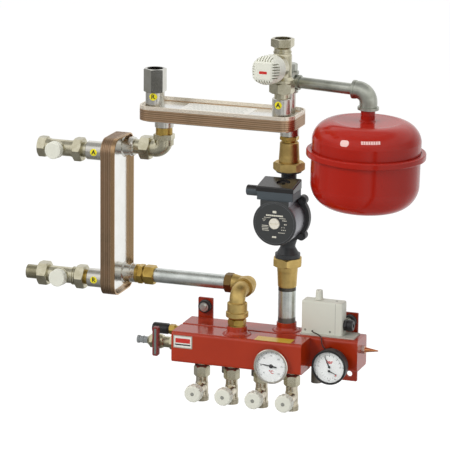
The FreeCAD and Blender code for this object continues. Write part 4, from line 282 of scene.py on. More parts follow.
# Level of light by the angle round the part, in degrees to the right of the front
WALL_LIGHT = ((-180, 0.95), (-130, 0.8), (-100, 0.55), (-80, 0.45), (-60, 0.7), (-40, 0.95), (-20, 0.9),
              (0, 0.7), (20, 0.7), (45, 1.0), (80, 1.15), (100, 0.9), (122, 0.5), (148, 0.9), (180, 0.95))
FLOOR_LIGHT = ((-180, 0.8), (-150, 0.9), (-125, 0.55), (-108, 0.35), (-92, 0.36), (-70, 0.34), (-62, 0.5),
               (-45, 0.45), (-20, 0.38), (0, 0.40), (12, 0.58), (24, 0.85), (31, 0.8), (33, 0.09), (39, 0.09),
               (41, 0.85), (60, 0.95), (80, 1.0), (110, 0.8), (140, 0.9), (160, 1.1), (180, 0.8))
# Level of light by height, from the horizon to straight up
SKY_LIGHT = ((0.0, 0.75), (0.30, 0.75), (0.40, 1.15), (0.74, 1.15), (0.86, 0.45), (1.0, 0.5))
# The floor is darker close to the part: reach in metres, then level
FLOOR_REACH = (0.5, 1.5)
FLOOR_SHADE = (0.45, 1.0)
# Noise values between which patches and grain fade in
PATCH_SPAN = (0.35, 0.68)
GRAIN_SPAN = (0.3, 0.7)
# Upward share of a face's normal from which dust lies on it
DUST_SPAN = (0.35, 1.0)
DUST_LEAST = 0.2


class Effects:
    """The effects that several finishes share, each a node group built once."""

    def __init__(self) -> None:
        """Build every group."""
        self.patina = self._patina()
        self.band = self._band()
        self.dust = self._dust()
        self.room = self._room()

    def _group(self, name: str, inputs: dict[str, Value], outputs: Sequence[str]) -> tuple[
            Graph, dict[str, Socket], dict[str, Socket]]:
        """Start a group with its named sockets.

        Args:
            name: The group's name.
            inputs: Socket name to default; a sequence makes a vector socket.
            outputs: Names of the float outputs.

        Returns:
            The graph, the given values by name, and the sockets to feed by name.
        """
        tree = bpy.data.node_groups.new(name, "ShaderNodeTree")
        for socket, default in inputs.items():
            kind = "NodeSocketFloat" if isinstance(default, float) else "NodeSocketVector"
            made = tree.interface.new_socket(socket, in_out="INPUT", socket_type=kind)
            made.default_value = default
        for socket in outputs:
            tree.interface.new_socket(socket, in_out="OUTPUT", socket_type="NodeSocketFloat")
        g = Graph(tree)
        given, out = g.add("NodeGroupInput").outputs, g.add("NodeGroupOutput").inputs
        return g, {key: given[key] for key in inputs}, {key: out[key] for key in outputs}

    def _patina(self) -> bpy.types.NodeTree:
        """Make broad patches, fine grain and the small height that goes with them.

        Returns:
            The group.
        """
        g, given, out = self._group("patina", {
            "Vector": (0, 0, 0), "Patch Scale": 14.0, "Grain Scale": 900.0}, ("Patches", "Grain", "Height"))
        patches = g.noise(given["Vector"], given["Patch Scale"], 4.0, 0.6)
        grain = g.noise(given["Vector"], given["Grain Scale"], 2.0, 0.5)
        g.feed(out["Patches"], g.spread(patches, *PATCH_SPAN))
        g.feed(out["Grain"], g.spread(grain, *GRAIN_SPAN))
        g.feed(out["Height"], g.maths("MULTIPLY", g.maths("ADD", patches, grain), 0.5))
        return g.tree

    def _band(self) -> bpy.types.NodeTree:
        """Make a mask that is 1 between two places along a line, with soft ends.

        Returns:
            The group.
        """
        g, given, out = self._group("band", {"Along": 0.0, "Low": 0.0, "High": 1.0, "Softness": 0.001},
                                    ("Mask",))
        above = g.maths("SUBTRACT", given["Along"], given["Low"])
        below = g.maths("SUBTRACT", given["High"], given["Along"])
        rise, fall = (g.maths("DIVIDE", side, given["Softness"], True) for side in (above, below))
        g.feed(out["Mask"], g.maths("MULTIPLY", rise, fall))
        return g.tree

    def _dust(self) -> bpy.types.NodeTree:
        """Make a thin uneven film that settles on faces that look up.

        Returns:
            The group.
        """
        g, given, out = self._group("settled_dust", {"Vector": (0, 0, 0), "Scale": 60.0, "Amount": 0.2},
                                    ("Mask",))
        up = g.spread(g.share(g.add("ShaderNodeNewGeometry").outputs["Normal"], Axis.Z), *DUST_SPAN)
        cloud = g.noise(given["Vector"], given["Scale"], 5.0, 0.65)
        film = g.maths("MULTIPLY", up, g.spread(cloud, *GRAIN_SPAN, DUST_LEAST))
        g.feed(out["Mask"], g.maths("MULTIPLY", film, given["Amount"]))
        return g.tree

    def _ramp(self, g: Graph, place: Socket, stops: Sequence[tuple[float, float]]) -> Socket:
        """Give a grey level by place.

        Args:
            g: Graph of the group.
            place: Place from 0 to 1.
            stops: Place and level of each stop, the first at 0 and the last at 1.

        Returns:
            The level.
        """
        node = g.add("ShaderNodeValToRGB")
        g.feed(node.inputs[0], place)
        for at, level in stops[1:-1]:
            node.color_ramp.elements.new(at)
        for stop, (at, level) in zip(node.color_ramp.elements, stops):
            stop.color = (level, level, level, 1)
        return node.outputs[0]

    def _room(self) -> bpy.types.NodeTree:
        """Make what bright metal mirrors: the wall, floor and sky of a studio, by direction.

        Returns:
            The group.
        """
        g, given, out = self._group("studio_room", {"Vector": (0, 0, 0)}, ("Wall", "Floor", "Sky"))
        x, y, z = (g.share(given["Vector"], axis) for axis in Axis)
        turn = g.maths("ARCTAN2", x, g.maths("MULTIPLY", y, -1.0))
        place = g.maths("ADD", g.maths("DIVIDE", turn, 2 * math.pi), 0.5)
        reach = g.maths("SQRT", g.maths("ADD", g.maths("MULTIPLY", x, x), g.maths("MULTIPLY", y, y)))
        wall, floor = (self._ramp(g, place, [(degrees / 360 + 0.5, level) for degrees, level in stops])
                       for stops in (WALL_LIGHT, FLOOR_LIGHT))
        g.feed(out["Wall"], wall)
        g.feed(out["Floor"], g.maths("MULTIPLY", floor, g.spread(reach, *FLOOR_REACH, *FLOOR_SHADE)))
        g.feed(out["Sky"], self._ramp(g, z, SKY_LIGHT))
        return g.tree


EFFECTS = Effects()


# -----------------------------------------------------------
# Finishes
# -----------------------------------------------------------

DUST_SCALE = 90.0
DUST_ROUGHNESS = 0.5
BUMP_STRENGTH = 0.6
# Noise values between which smears on glass fade in
SMEAR_SPAN = (0.4, 0.7)


@dataclass(frozen=True)
class Finish:
    """A surface with patches, grain, dust and a small bump.

    Attributes:
        name: Material name.
        colour: Main colour.
        shade: Colour of the patches.
        metallic: Metallic value.
        roughness: Middle roughness.
        swing: How far the roughness wanders.
        patches: How strongly the patch colour shows.
        patch_scale: Patches per metre.
        grain_scale: Grains per metre.
        bump: Height of the grain, in metres.
        dust: Share of settled dust.
        dust_colour: Its colour.
        specular: Specular level of the base.
    """

    name: str
    colour: Colour
    shade: Colour
    metallic: float = 0.0
    roughness: float = 0.4
    swing: float = 0.08
    patches: float = 0.5
    patch_scale: float = 22.0
    grain_scale: float = 1200.0
    bump: float = 0.04 * MM
    dust: float = 0.0
    dust_colour: Colour = (0.45, 0.43, 0.40)
    specular: float = 0.5

    def material(self) -> bpy.types.Material:
        """Build the material, once for each name.

        Returns:
            The material.
        """
        made = bpy.data.materials.get("finish_" + self.name)
        if made:
            return made
        made = bpy.data.materials.new("finish_" + self.name)
        made.use_nodes = True
        made.node_tree.nodes.clear()
        g = Graph(made.node_tree)
        shader = g.add("ShaderNodeBsdfPrincipled")
        out = g.add("ShaderNodeOutputMaterial")
        g.feed(out.inputs["Surface"], self.shade_with(g, shader))
        made.diffuse_color = (*self.colour, 1.0)
        return made

    def shade_with(self, g: Graph, shader: bpy.types.Node) -> Socket:
        """Wire the shader.

        Args:
            g: Graph of the material.
            shader: Its Principled shader.

        Returns:
            The socket for the material output.
        """
        where = g.place()
        patina = g.use(EFFECTS.patina, vector=where, patch_scale=self.patch_scale,
                       grain_scale=self.grain_scale).outputs
        tone = g.mix(g.maths("MULTIPLY", patina["Patches"], self.patches), self.colour, self.shade)
        colour = self.paint(g, tone, patina["Patches"])
        wander = g.maths("MULTIPLY", patina["Grain"], self.swing)
        rough = g.maths("ADD", self.roughness - self.swing / 2, wander)
        if self.dust:
            film = g.use(EFFECTS.dust, vector=where, scale=DUST_SCALE, amount=self.dust).outputs["Mask"]
            colour = g.mix(film, colour, self.dust_colour)
            rough = g.maths("ADD", rough, g.maths("MULTIPLY", film, DUST_ROUGHNESS), True)
        g.feed(shader.inputs["Base Color"], colour)
        g.feed(shader.inputs["Roughness"], self.polish(g, rough))
        g.feed(shader.inputs["Metallic"], self.plating(g))
        shader.inputs["Specular IOR Level"].default_value = self.specular
        if self.bump:
            bump = g.add("ShaderNodeBump")
            bump.inputs["Strength"].default_value = BUMP_STRENGTH
            bump.inputs["Distance"].default_value = self.bump
            g.feed(bump.inputs["Height"], patina["Height"])
            g.feed(shader.inputs["Normal"], bump.outputs[0])
        return shader.outputs[0]

    def paint(self, g: Graph, colour: Socket, patches: Socket) -> Socket:
        """Change the colour by place; a plain finish leaves it."""
        return colour

    def polish(self, g: Graph, rough: Socket) -> Socket:
        """Change the roughness by place; a plain finish leaves it."""
        return rough

    def plating(self, g: Graph) -> Value:
        """Give the metallic value; a plain finish has one everywhere."""
        return self.metallic


@dataclass(frozen=True)
class PlateEdges(Finish):
    """The ribbed edge of a brazed plate pack: brown braze between pale steel rims.

    Attributes:
        axis: Axis that the plates are stacked along.
        start: Place of the first plate along it.
        pitch: Plate spacing.
        lip_low: Where the outer cover's bright rim starts.
        lip_high: Where it ends.
        lip_soft: Width of its soft edge.
        lip_metal: Metallic value of the lip.
        lip_polish: Roughness taken off it.
        bare: Its colour, that of the bare steel rim; a near-white one also paints a highlight on it.
        flame: Colour of the heat-tinted patches.
        flame_share: How strongly they show.
        contrast: How far the rims stand out from the grooves in colour.
    """

    axis: Axis = Axis.X
    start: float = 0.0
    pitch: float = 2.0 * MM
    lip_low: float = 0.0
    lip_high: float = 0.0
    lip_soft: float = 0.4 * MM
    lip_metal: float = 1.0
    lip_polish: float = 0.12
    bare: Colour = (0.75, 0.7, 0.62)
    flame: Colour = (0.3, 0.15, 0.1)
    flame_share: float = 0.6
    contrast: float = 0.75

    def _rims(self, g: Graph) -> Socket:
        """Give a wave that is 1 on each rim and 0 in each groove.

        Args:
            g: Graph of the material.

        Returns:
            The wave.
        """
        along = g.share(g.place(), self.axis)
        turn = g.maths("MULTIPLY", g.maths("SUBTRACT", along, self.start), 2 * math.pi / self.pitch)
        return g.maths("ADD", g.maths("MULTIPLY", g.maths("COSINE", turn), -0.5), 0.5)

    def _lip(self, g: Graph) -> Socket:
        """Give the mask of the bright rim.

        Args:
            g: Graph of the material.

        Returns:
            The mask.
        """
        along = g.share(g.place(), self.axis)
        return g.use(EFFECTS.band, along=along, low=self.lip_low, high=self.lip_high,
                     softness=self.lip_soft).outputs["Mask"]

    def paint(self, g: Graph, colour: Socket, patches: Socket) -> Socket:
        """Stripe the edge, tint it in patches and bare the lip.

        Args:
            g: Graph of the material.
            colour: Colour of the braze.
            patches: Strength of the patches.

        Returns:
            The colour.
        """
        tinted = g.mix(g.maths("MULTIPLY", patches, self.flame_share), colour, self.flame)
        striped = g.mix(g.maths("MULTIPLY", self._rims(g), self.contrast), tinted, self.shade)
        return g.mix(self._lip(g), striped, self.bare)

    def plating(self, g: Graph) -> Value:
        """Let the bare lip scatter light, as pickled steel does."""
        return g.spread(self._lip(g), 0.0, 1.0, self.metallic, self.lip_metal)

    def polish(self, g: Graph, rough: Socket) -> Socket:
        """Polish the lip."""
        return g.maths("SUBTRACT", rough, g.maths("MULTIPLY", self._lip(g), self.lip_polish))


@dataclass(frozen=True)
class Zoned(Finish):
    """A finish with one band of another colour along one axis.

    Attributes:
        axis: Axis that the band runs across.
        zone: Low and high place of the band, in metres.
        zone_colour: Colour inside the band.
        zone_rough: Roughness added inside it.
        zone_metal: Metallic value inside it, where it differs.
        softness: Width of the band's soft edge.
    """

    axis: Axis = Axis.Z
    zone: tuple[float, float] = (0.0, 0.0)
    zone_colour: Colour = (0.1, 0.1, 0.1)
    zone_rough: float = 0.15
    zone_metal: Optional[float] = None
    softness: float = 1.5 * MM

    def _mask(self, g: Graph) -> Socket:
        """Give the mask of the band.

        Args:
            g: Graph of the material.

        Returns:
            The mask.
        """
        low, high = self.zone
        along = g.share(g.place(), self.axis)
        return g.use(EFFECTS.band, along=along, low=low, high=high, softness=self.softness).outputs["Mask"]

    def paint(self, g: Graph, colour: Socket, patches: Socket) -> Socket:
        """Colour the band."""
        return g.mix(self._mask(g), colour, self.zone_colour)

    def polish(self, g: Graph, rough: Socket) -> Socket:
        """Roughen the band."""
        return g.maths("ADD", rough, g.maths("MULTIPLY", self._mask(g), self.zone_rough), True)

    def plating(self, g: Graph) -> Value:
        """Change the metallic value in the band where one is given.

        Args:
            g: Graph of the material.

        Returns:
            The metallic value.
        """
        if self.zone_metal is None:
            return self.metallic
        return g.spread(self._mask(g), 0.0, 1.0, self.metallic, self.zone_metal)


@dataclass(frozen=True)
class ClearGlass(Finish):
    """Flat gauge glass that lets light through to the dial.

    Attributes:
        index: Index of refraction.
        smear_scale: Smears per metre.
        smears: Least and greatest roughness of the smears.
    """

    index: float = 1.45
    smear_scale: float = 260.0
    smears: tuple[float, float] = (0.01, 0.05)

    def shade_with(self, g: Graph, shader: bpy.types.Node) -> Socket:
        """Wire clear glass, with a see-through shadow.

        Args:
            g: Graph of the material.
            shader: Its Principled shader.

        Returns:
            The socket for the material output.
        """
        shader.inputs["Base Color"].default_value = (*self.colour, 1.0)
        shader.inputs["IOR"].default_value = self.index
        shader.inputs["Transmission Weight"].default_value = 1.0
        smear = g.noise(g.place(), self.smear_scale)
        g.feed(shader.inputs["Roughness"], g.spread(smear, *SMEAR_SPAN, *self.smears))
        clear = g.add("ShaderNodeBsdfTransparent")
        both = g.add("ShaderNodeMixShader")
        g.feed(both.inputs[0], g.add("ShaderNodeLightPath").outputs["Is Shadow Ray"])
        g.feed(both.inputs[1], shader.outputs[0])
        g.feed(both.inputs[2], clear.outputs[0])
        return both.outputs[0]


RED_ENAMEL = Finish("red_enamel", tint(172, 50, 18), tint(158, 42, 16), roughness=0.13, swing=0.04,
                    patches=0.5, patch_scale=9.0, grain_scale=420.0, bump=0.03 * MM, dust=0.05)
VESSEL_RED = Finish("vessel_red", tint(172, 27, 8), tint(154, 22, 7), roughness=0.16, swing=0.04,
                    patches=0.4, patch_scale=6.0, grain_scale=300.0, bump=0.05 * MM, dust=0.03,
                    specular=0.32)
NICKEL = Finish("nickel", tint(206, 201, 178), tint(168, 161, 134), metallic=1.0, roughness=0.26,
                swing=0.14, patches=0.8, patch_scale=60.0, grain_scale=1500.0, bump=0.1 * MM)
COUPLING_CHROME = Finish("coupling_chrome", tint(204, 203, 196), tint(184, 181, 168), metallic=1.0,
                         roughness=0.12, swing=0.08, patches=0.7, patch_scale=40.0, grain_scale=1500.0,
                         bump=0.06 * MM)
STAINLESS = Finish("stainless", tint(214, 212, 204), tint(190, 186, 176), metallic=1.0, roughness=0.24,
                   swing=0.12, patches=0.5, patch_scale=18.0, grain_scale=1400.0, bump=0.04 * MM)
COVER_STEEL = Finish("cover_steel", tint(238, 238, 234), tint(226, 226, 220), metallic=1.0, roughness=0.17,
                     swing=0.08, patches=0.6, patch_scale=26.0, grain_scale=700.0, bump=0.03 * MM)
BRASS = Finish("brass", tint(206, 176, 96), tint(156, 126, 60), metallic=1.0, roughness=0.34, swing=0.16,
               patches=0.8, patch_scale=38.0, grain_scale=1100.0, bump=0.1 * MM)
BRASS_CAST = Finish("brass_cast", tint(214, 186, 118), tint(166, 138, 82), metallic=1.0, roughness=0.46,
                    swing=0.14, patches=0.8, patch_scale=30.0, grain_scale=800.0, bump=0.16 * MM)
MALLEABLE = Finish("malleable", tint(190, 192, 182), tint(148, 150, 138), metallic=1.0, roughness=0.36,
                   swing=0.16, patches=0.8, patch_scale=40.0, grain_scale=800.0, bump=0.14 * MM)
PUMP_BLACK = Finish("pump_black", tint(52, 54, 56), tint(40, 42, 43), roughness=0.42, swing=0.12,
                    patches=0.6, patch_scale=40.0, grain_scale=900.0, bump=0.14 * MM, dust=0.10)
DARK_PLASTIC = Finish("dark_plastic", tint(30, 30, 31), tint(44, 43, 42), roughness=0.40, swing=0.1,
                      patches=0.3, grain_scale=1600.0, bump=0.03 * MM)
WHITE_PLASTIC = Finish("white_plastic", tint(230, 230, 216), tint(220, 219, 204), roughness=0.34,
                       swing=0.08, patches=0.4, grain_scale=1500.0, bump=0.03 * MM)
GREY_PLASTIC = Finish("grey_plastic", tint(223, 224, 211), tint(215, 216, 203), roughness=0.48, swing=0.08,
                      patches=0.4, grain_scale=1500.0, bump=0.04 * MM)
RED_PLASTIC = Finish("red_plastic", tint(128, 34, 32), tint(104, 28, 28), roughness=0.36, swing=0.1,
                     patches=0.4, grain_scale=1300.0, bump=0.04 * MM)
CHROMED = Finish("chromed", tint(232, 228, 216), tint(214, 206, 190), metallic=1.0, roughness=0.10,
                 swing=0.06, patches=0.3, grain_scale=1500.0, bump=0.0)
DIAL_WHITE = Finish("dial_white", tint(240, 240, 238), tint(232, 232, 230), roughness=0.5, swing=0.05,
                    patches=0.3, bump=0.0)
POINTER_BLACK = Finish("pointer_black", tint(22, 22, 22), tint(34, 34, 34), roughness=0.5, patches=0.3,
                       bump=0.0)
RUBBER = Finish("rubber", tint(26, 25, 25), tint(42, 40, 38), roughness=0.62, swing=0.12, patches=0.5,
                grain_scale=1100.0, bump=0.06 * MM, dust=0.12)
ZINC = Finish("zinc", tint(200, 200, 196), tint(168, 168, 162), metallic=1.0, roughness=0.34, swing=0.14,
              patches=0.6, patch_scale=80.0)
GASKET = Finish("gasket", tint(96, 40, 28), tint(70, 32, 24), roughness=0.8, patches=0.6,
                patch_scale=120.0)
OUTLET_NICKEL = Finish("outlet_nickel", tint(222, 214, 194), tint(170, 160, 138), metallic=1.0,
                       roughness=0.22, swing=0.14, patches=0.8, patch_scale=70.0, grain_scale=1500.0,
                       bump=0.14 * MM)
OUTLET_STEEL = Finish("outlet_steel", tint(140, 136, 128), tint(104, 98, 90), metallic=1.0, roughness=0.48,
                      swing=0.16, patches=0.8, patch_scale=60.0)
CAPILLARY = Finish("capillary", tint(40, 36, 34), tint(58, 48, 42), roughness=0.5, patches=0.4)
GLASS = ClearGlass("gauge_glass", (0.98, 0.99, 0.99), (0.98, 0.99, 0.99), roughness=0.02)
VENT_CREAM = Finish("vent_cream", tint(236, 231, 216), tint(216, 209, 190), roughness=0.34, patches=0.5,
                    patch_scale=160.0, bump=0.04 * MM)
SCREW_BRIGHT = Finish("screw_bright", tint(214, 214, 208), tint(180, 180, 172), metallic=1.0,
                      roughness=0.22, swing=0.1, patches=0.6, patch_scale=120.0, bump=0.04 * MM)
THREAD_NICKEL = Finish("thread_nickel", tint(150, 144, 112), tint(110, 104, 78), metallic=1.0,
                       roughness=0.34, patches=0.6, patch_scale=90.0, bump=0.0)
LABEL_WHITE = Finish("label_white", tint(232, 230, 222), tint(222, 218, 208), roughness=0.42, patches=0.4,
                     bump=0.0)
LABEL_GREY = Finish("label_grey", tint(168, 164, 150), tint(152, 148, 136), roughness=0.42, patches=0.4,
                    bump=0.0)
LABEL_YELLOW = Finish("label_yellow", tint(216, 176, 24), tint(204, 162, 22), roughness=0.30, patches=0.4,
                      bump=0.0)
DISC_YELLOW = Finish("disc_yellow", tint(236, 222, 24), tint(226, 208, 20), roughness=0.36, patches=0.3,
                     bump=0.0)
SEAM_GREY = Finish("seam_grey", tint(140, 140, 130), tint(122, 122, 112), roughness=0.5, patches=0.4,
                   bump=0.0)
STAINED_STEEL = Finish("stained_steel", tint(74, 72, 68), tint(110, 106, 98), metallic=1.0, roughness=0.4,
                       patches=0.7, patch_scale=160.0, bump=0.04 * MM)
INLAY_GREY = Finish("inlay_grey", tint(112, 118, 114), tint(96, 102, 98), roughness=0.4, patches=0.4,
                    bump=0.0)
BUTTON_GREY = Finish("button_grey", tint(148, 148, 140), tint(126, 126, 118), roughness=0.4, patches=0.4,
                     bump=0.0)
INK_BLACK = Finish("ink_black", tint(28, 28, 28), tint(40, 40, 40), roughness=0.5, patches=0.3, bump=0.0)
INK_RED = Finish("ink_red", tint(200, 44, 34), tint(186, 40, 32), roughness=0.45, patches=0.3, bump=0.0)
INK_PALE = Finish("ink_pale", tint(222, 218, 202), tint(200, 196, 182), roughness=0.5, patches=0.4,
                  bump=0.0)
# Pale pink for the vessel's printed bars and for the painted highlight on its shoulder
INK_SOFT = Finish("ink_soft", tint(242, 206, 200), tint(230, 176, 168), roughness=0.35, patches=0.5,
                  bump=0.0)
RIM_GREY = Finish("rim_grey", tint(98, 100, 103), tint(84, 86, 88), roughness=0.35, patches=0.5, bump=0.0)
INK_GREY = Finish("ink_grey", tint(176, 180, 172), tint(190, 192, 186), roughness=0.5, patches=0.5,
                  bump=0.0)


# -----------------------------------------------------------
# Mesh helpers
# -----------------------------------------------------------

WELD_DISTANCE = 0.001 * MM
CAD_WELD_DISTANCE = 0.002 * MM
ON_AXIS = 1e-7
MOST_CUTS = 6
DRAPE_START = 100.0 * MM
CAPITAL_SHARE = 0.72
# Lift between stacked sheets and their longest edge before draping: prints, and the vessel's painted
# highlight
PRINT_STEP = 0.1 * MM
PRINT_EDGE = 1.6 * MM


class Shape:
    """Collects solid bits into one mesh, then hands it over as one piece."""

    def __init__(self) -> None:
        """Start empty."""
        self.bm = bmesh.new()

    def take(self, mesh: bpy.types.Mesh, matrix: Matrix) -> "Shape":
        """Add a mesh and drop it.

        Args:
            mesh: The mesh.
            matrix: Its place.

        Returns:
            This shape.
        """
        mesh.transform(matrix)
        self.bm.from_mesh(mesh)
        bpy.data.meshes.remove(mesh)
        return self

    def slab(self, outline: Outline, thick: float, matrix: Matrix) -> "Shape":
        """Add a flat plate.

        Args:
            outline: Corner points of the plate, anticlockwise, in metres.
            thick: Its thickness along local +Z.
            matrix: Its place.

        Returns:
            This shape.
        """
        low = [self.bm.verts.new(matrix @ Vector((x, y, 0))) for x, y in outline]
        high = [self.bm.verts.new(matrix @ Vector((x, y, thick))) for x, y in outline]
        self.bm.faces.new(high)
        self.bm.faces.new(list(reversed(low)))
        count = len(outline)
        for i in range(count):
            j = (i + 1) % count
            self.bm.faces.new((low[i], low[j], high[j], high[i]))
        return self

    def turned(self, profile: Outline, matrix: Matrix, sides: int) -> "Shape":
        """Add a solid turned about local Z.

        Args:
            profile: Radius and height of its points, the first and last on the axis.
            matrix: Its place.
            sides: Number of sides round the axis.

        Returns:
            This shape.
        """
        rows: list[list[bmesh.types.BMVert]] = []
        for radius, height in profile:
            count = 1 if radius < ON_AXIS else sides
            angles = [2 * math.pi * i / sides for i in range(count)]
            ring = [(radius * math.cos(angle), radius * math.sin(angle), height) for angle in angles]
            rows.append([self.bm.verts.new(matrix @ Vector(point)) for point in ring])
        for lower, upper in zip(rows, rows[1:]):
            for i in range(sides):
                j = (i + 1) % sides
                corners = (lower[i % len(lower)], lower[j % len(lower)], upper[j % len(upper)],
                           upper[i % len(upper)])
                face = list(dict.fromkeys(corners))
                if len(face) > 2:
                    self.bm.faces.new(face)
        return self

    def refine(self, longest: float) -> "Shape":
        """Cut long edges so that the shape can bend.

        Args:
            longest: Longest edge that is left, in metres.

        Returns:
            This shape.
        """
        bmesh.ops.triangulate(self.bm, faces=self.bm.faces[:])
        for _ in range(MOST_CUTS):
            long_edges = [edge for edge in self.bm.edges if edge.calc_length() > longest]
            if not long_edges:
                break
            bmesh.ops.subdivide_edges(self.bm, edges=long_edges, cuts=1)
            bmesh.ops.triangulate(self.bm, faces=self.bm.faces[:])
        return self

    def drape(self, node: str, way: Vector, plane: float) -> "Shape":
        """Lay a flat shape on the surface of a CAD node and keep its thickness.

        Args:
            node: The CAD node that carries it.
            way: Unit direction that the shape is pressed along.
            plane: Place of the shape's underside along that direction.

        Returns:
            This shape.
        """
        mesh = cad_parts[node].data
        surface = BVHTree.FromPolygons([v.co for v in mesh.vertices], [p.vertices for p in mesh.polygons])
        for vert in self.bm.verts:
            hit = surface.ray_cast(vert.co - way * DRAPE_START, way)[0]
            if hit is not None:
                vert.co = hit - way * (plane - vert.co.dot(way))
        return self

    def mesh(self, name: str) -> bpy.types.Mesh:
        """Turn the shape into a mesh as it is, and end it.

        Args:
            name: Name of the mesh.

        Returns:
            The mesh.
        """
        mesh = bpy.data.meshes.new(name)
        self.bm.to_mesh(mesh)
        self.bm.free()
        return mesh

    def piece(self, name: str, finish: Finish, body: str, slot: str, smooth: float = 0.0) -> None:
        """Close the shape and hang it on its body.

        Args:
            name: Piece name.
            finish: Its finish.
            body: CAD body that it rides on.
            slot: Record material slot; not used.
            smooth: Largest angle that is shaded smooth, in degrees, or 0 for flat faces.
        """
        bmesh.ops.remove_doubles(self.bm, verts=self.bm.verts[:], dist=WELD_DISTANCE)
        bmesh.ops.recalc_face_normals(self.bm, faces=self.bm.faces[:])
        mesh = self.mesh(name)
        mesh.materials.clear()
        mesh.materials.append(finish.material())
        for polygon in mesh.polygons:
            polygon.material_index = 0
        if smooth:
            mesh.shade_smooth()
            mesh.set_sharp_from_angle(angle=math.radians(smooth))
        made = bpy.data.objects.new(name, mesh)
        bpy.context.scene.collection.objects.link(made)
        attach(made, body)
        log.info("%s: %d faces, on %s", name, len(mesh.polygons), body)


def rounded(width: float, height: float, radius: float, steps: int = 5) -> list[tuple[float, float]]:
    """Give the outline of a rectangle with round corners, centred on the origin.

    Args:
        width: Its width.
        height: Its height.
        radius: Radius of its corners.
        steps: Edges in each corner.

    Returns:
        Its points, anticlockwise.
    """
    points = []
    for corner, (sx, sy) in enumerate(((1, 1), (-1, 1), (-1, -1), (1, -1))):
        for step in range(steps + 1):
            angle = math.pi / 2 * (corner + step / steps)
            points.append((sx * (width / 2 - radius) + radius * math.cos(angle),
                           sy * (height / 2 - radius) + radius * math.sin(angle)))
    return points


def circle(radius: float, count: int) -> list[tuple[float, float]]:
    """Give the outline of a circle about the origin.

    Args:
        radius: Its radius.
        count: Number of points.

    Returns:
        Its points, anticlockwise.
    """
    angles = [2 * math.pi * i / count for i in range(count)]
    return [(radius * math.cos(angle), radius * math.sin(angle)) for angle in angles]


def sheet(outline: Outline, thick: float = 0.12 * MM) -> bpy.types.Mesh:
    """Make a flat plate that lies in XY as a mesh of its own."""
    return Shape().slab(outline, thick, Matrix.Identity(4)).mesh("sheet")


def plate(name: str, outline: Outline, thick: float, place: Matrix, finish: Finish, slot: str,
          body: str = MAIN) -> None:
    """Lay one flat plate as a piece of its own.

    Args:
        name: Piece name.
        outline: Its corner points.
        thick: Its thickness.
        place: Place of its underside.
        finish: Its finish.
        slot: Record material slot.
        body: CAD body that it rides on.
    """
    Shape().slab(outline, thick, place).piece(name, finish, body, slot)


def evaluated(host: bpy.types.Object) -> bpy.types.Mesh:
    """Give an object's finished mesh as a plain one."""
    graph = bpy.context.evaluated_depsgraph_get()
    return bpy.data.meshes.new_from_object(host.evaluated_get(graph), depsgraph=graph)


def lettering(text: str, height: float, thick: float, bold: float = 0.0) -> bpy.types.Mesh:
    """Make a flat text mesh, centred on the origin and lying in XY.

    Args:
        text: The characters.
        height: Height of a capital, in metres.
        thick: Thickness of the mesh.
        bold: How far the strokes are widened on each side.

    Returns:
        The mesh.
    """
    curve = bpy.data.curves.new("lettering", "FONT")
    curve.body = text
    curve.align_x = "CENTER"
    curve.align_y = "CENTER"
    curve.size = height / CAPITAL_SHARE
    curve.extrude = thick / 2
    curve.offset = bold
    curve.resolution_u = 3
    holder = bpy.data.objects.new("lettering", curve)
    bpy.context.scene.collection.objects.link(holder)
    mesh = evaluated(holder)
    bpy.data.objects.remove(holder)
    bpy.data.curves.remove(curve)
    return mesh


def island(start: bmesh.types.BMVert, seen: set[int]) -> list[Vector]:
    """Collect the points that hang together with one point.

    Args:
        start: Where to begin.
        seen: Indices of the points already collected; grows.

    Returns:
        The points.
    """
    stack = [start]
    points = []
    seen.add(start.index)
    while stack:
        here = stack.pop()
        points.append(here.co.copy())
        for edge in here.link_edges:
            other = edge.other_vert(here)
            if other.index not in seen:
                seen.add(other.index)
                stack.append(other)
    return points


def solids_of(node: str) -> list[Box]:
    """Find the separate solids in a CAD node.

    Args:
        node: The node's name.

    Returns:
        The lowest and highest corner of each solid, from left to right.
    """
    bm = bmesh.new()
    bm.from_mesh(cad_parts[node].data)
    bmesh.ops.remove_doubles(bm, verts=bm.verts[:], dist=CAD_WELD_DISTANCE)
    bm.verts.ensure_lookup_table()
    seen: set[int] = set()
    boxes = []
    for vert in bm.verts:
        if vert.index not in seen:
            shares = list(zip(*island(vert, seen)))
            boxes.append((Vector([min(share) for share in shares]), Vector([max(share) for share in shares])))
    bm.free()
    return sorted(boxes, key=lambda box: (box[0].x, box[0].z))


def stuck(name: str, node: str, at: Vector, turn: float,
          layers: Sequence[tuple[Finish, str, bpy.types.Mesh]]) -> None:
    """Stick flat sheets on the front of a CAD node, one above the other: prints, and the vessel's painted
    highlight.

    Args:
        name: Start of the piece names.
        node: The CAD node under them.
        at: Their middle, anywhere in front of the surface.
        turn: Turn about the vertical, in radians; positive looks to the right.
        layers: Finish, record slot and flat mesh of each sheet, lowest first.
    """
    way = Vector((-math.sin(turn), math.cos(turn), 0))
    place = Matrix.Translation(at) @ Matrix.Rotation(turn, 4, "Z") @ Facing.FRONT.matrix(Vector())
    for count, (finish, slot, mesh) in enumerate(layers):
        lift = Matrix.Translation((0, 0, PRINT_STEP * count))
        shape = Shape().take(mesh, place @ lift).refine(PRINT_EDGE)
        shape.drape(node, way, at.dot(way)).piece("%s_%d" % (name, count), finish, MAIN, slot, smooth=50)


def dress(finish: Finish, *nodes: str) -> None:
    """Give CAD nodes a finish through their material slots.

    Args:
        finish: The finish.
        *nodes: CAD node names.
    """
    for node in nodes:
        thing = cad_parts[node]
        if not thing.material_slots:
            thing.data.materials.append(None)
        for held in thing.material_slots:
            held.material = finish.material()
        log.info("%s: finish %s", node, finish.name)


# -----------------------------------------------------------
# Repeats, grown with Geometry Nodes
# -----------------------------------------------------------

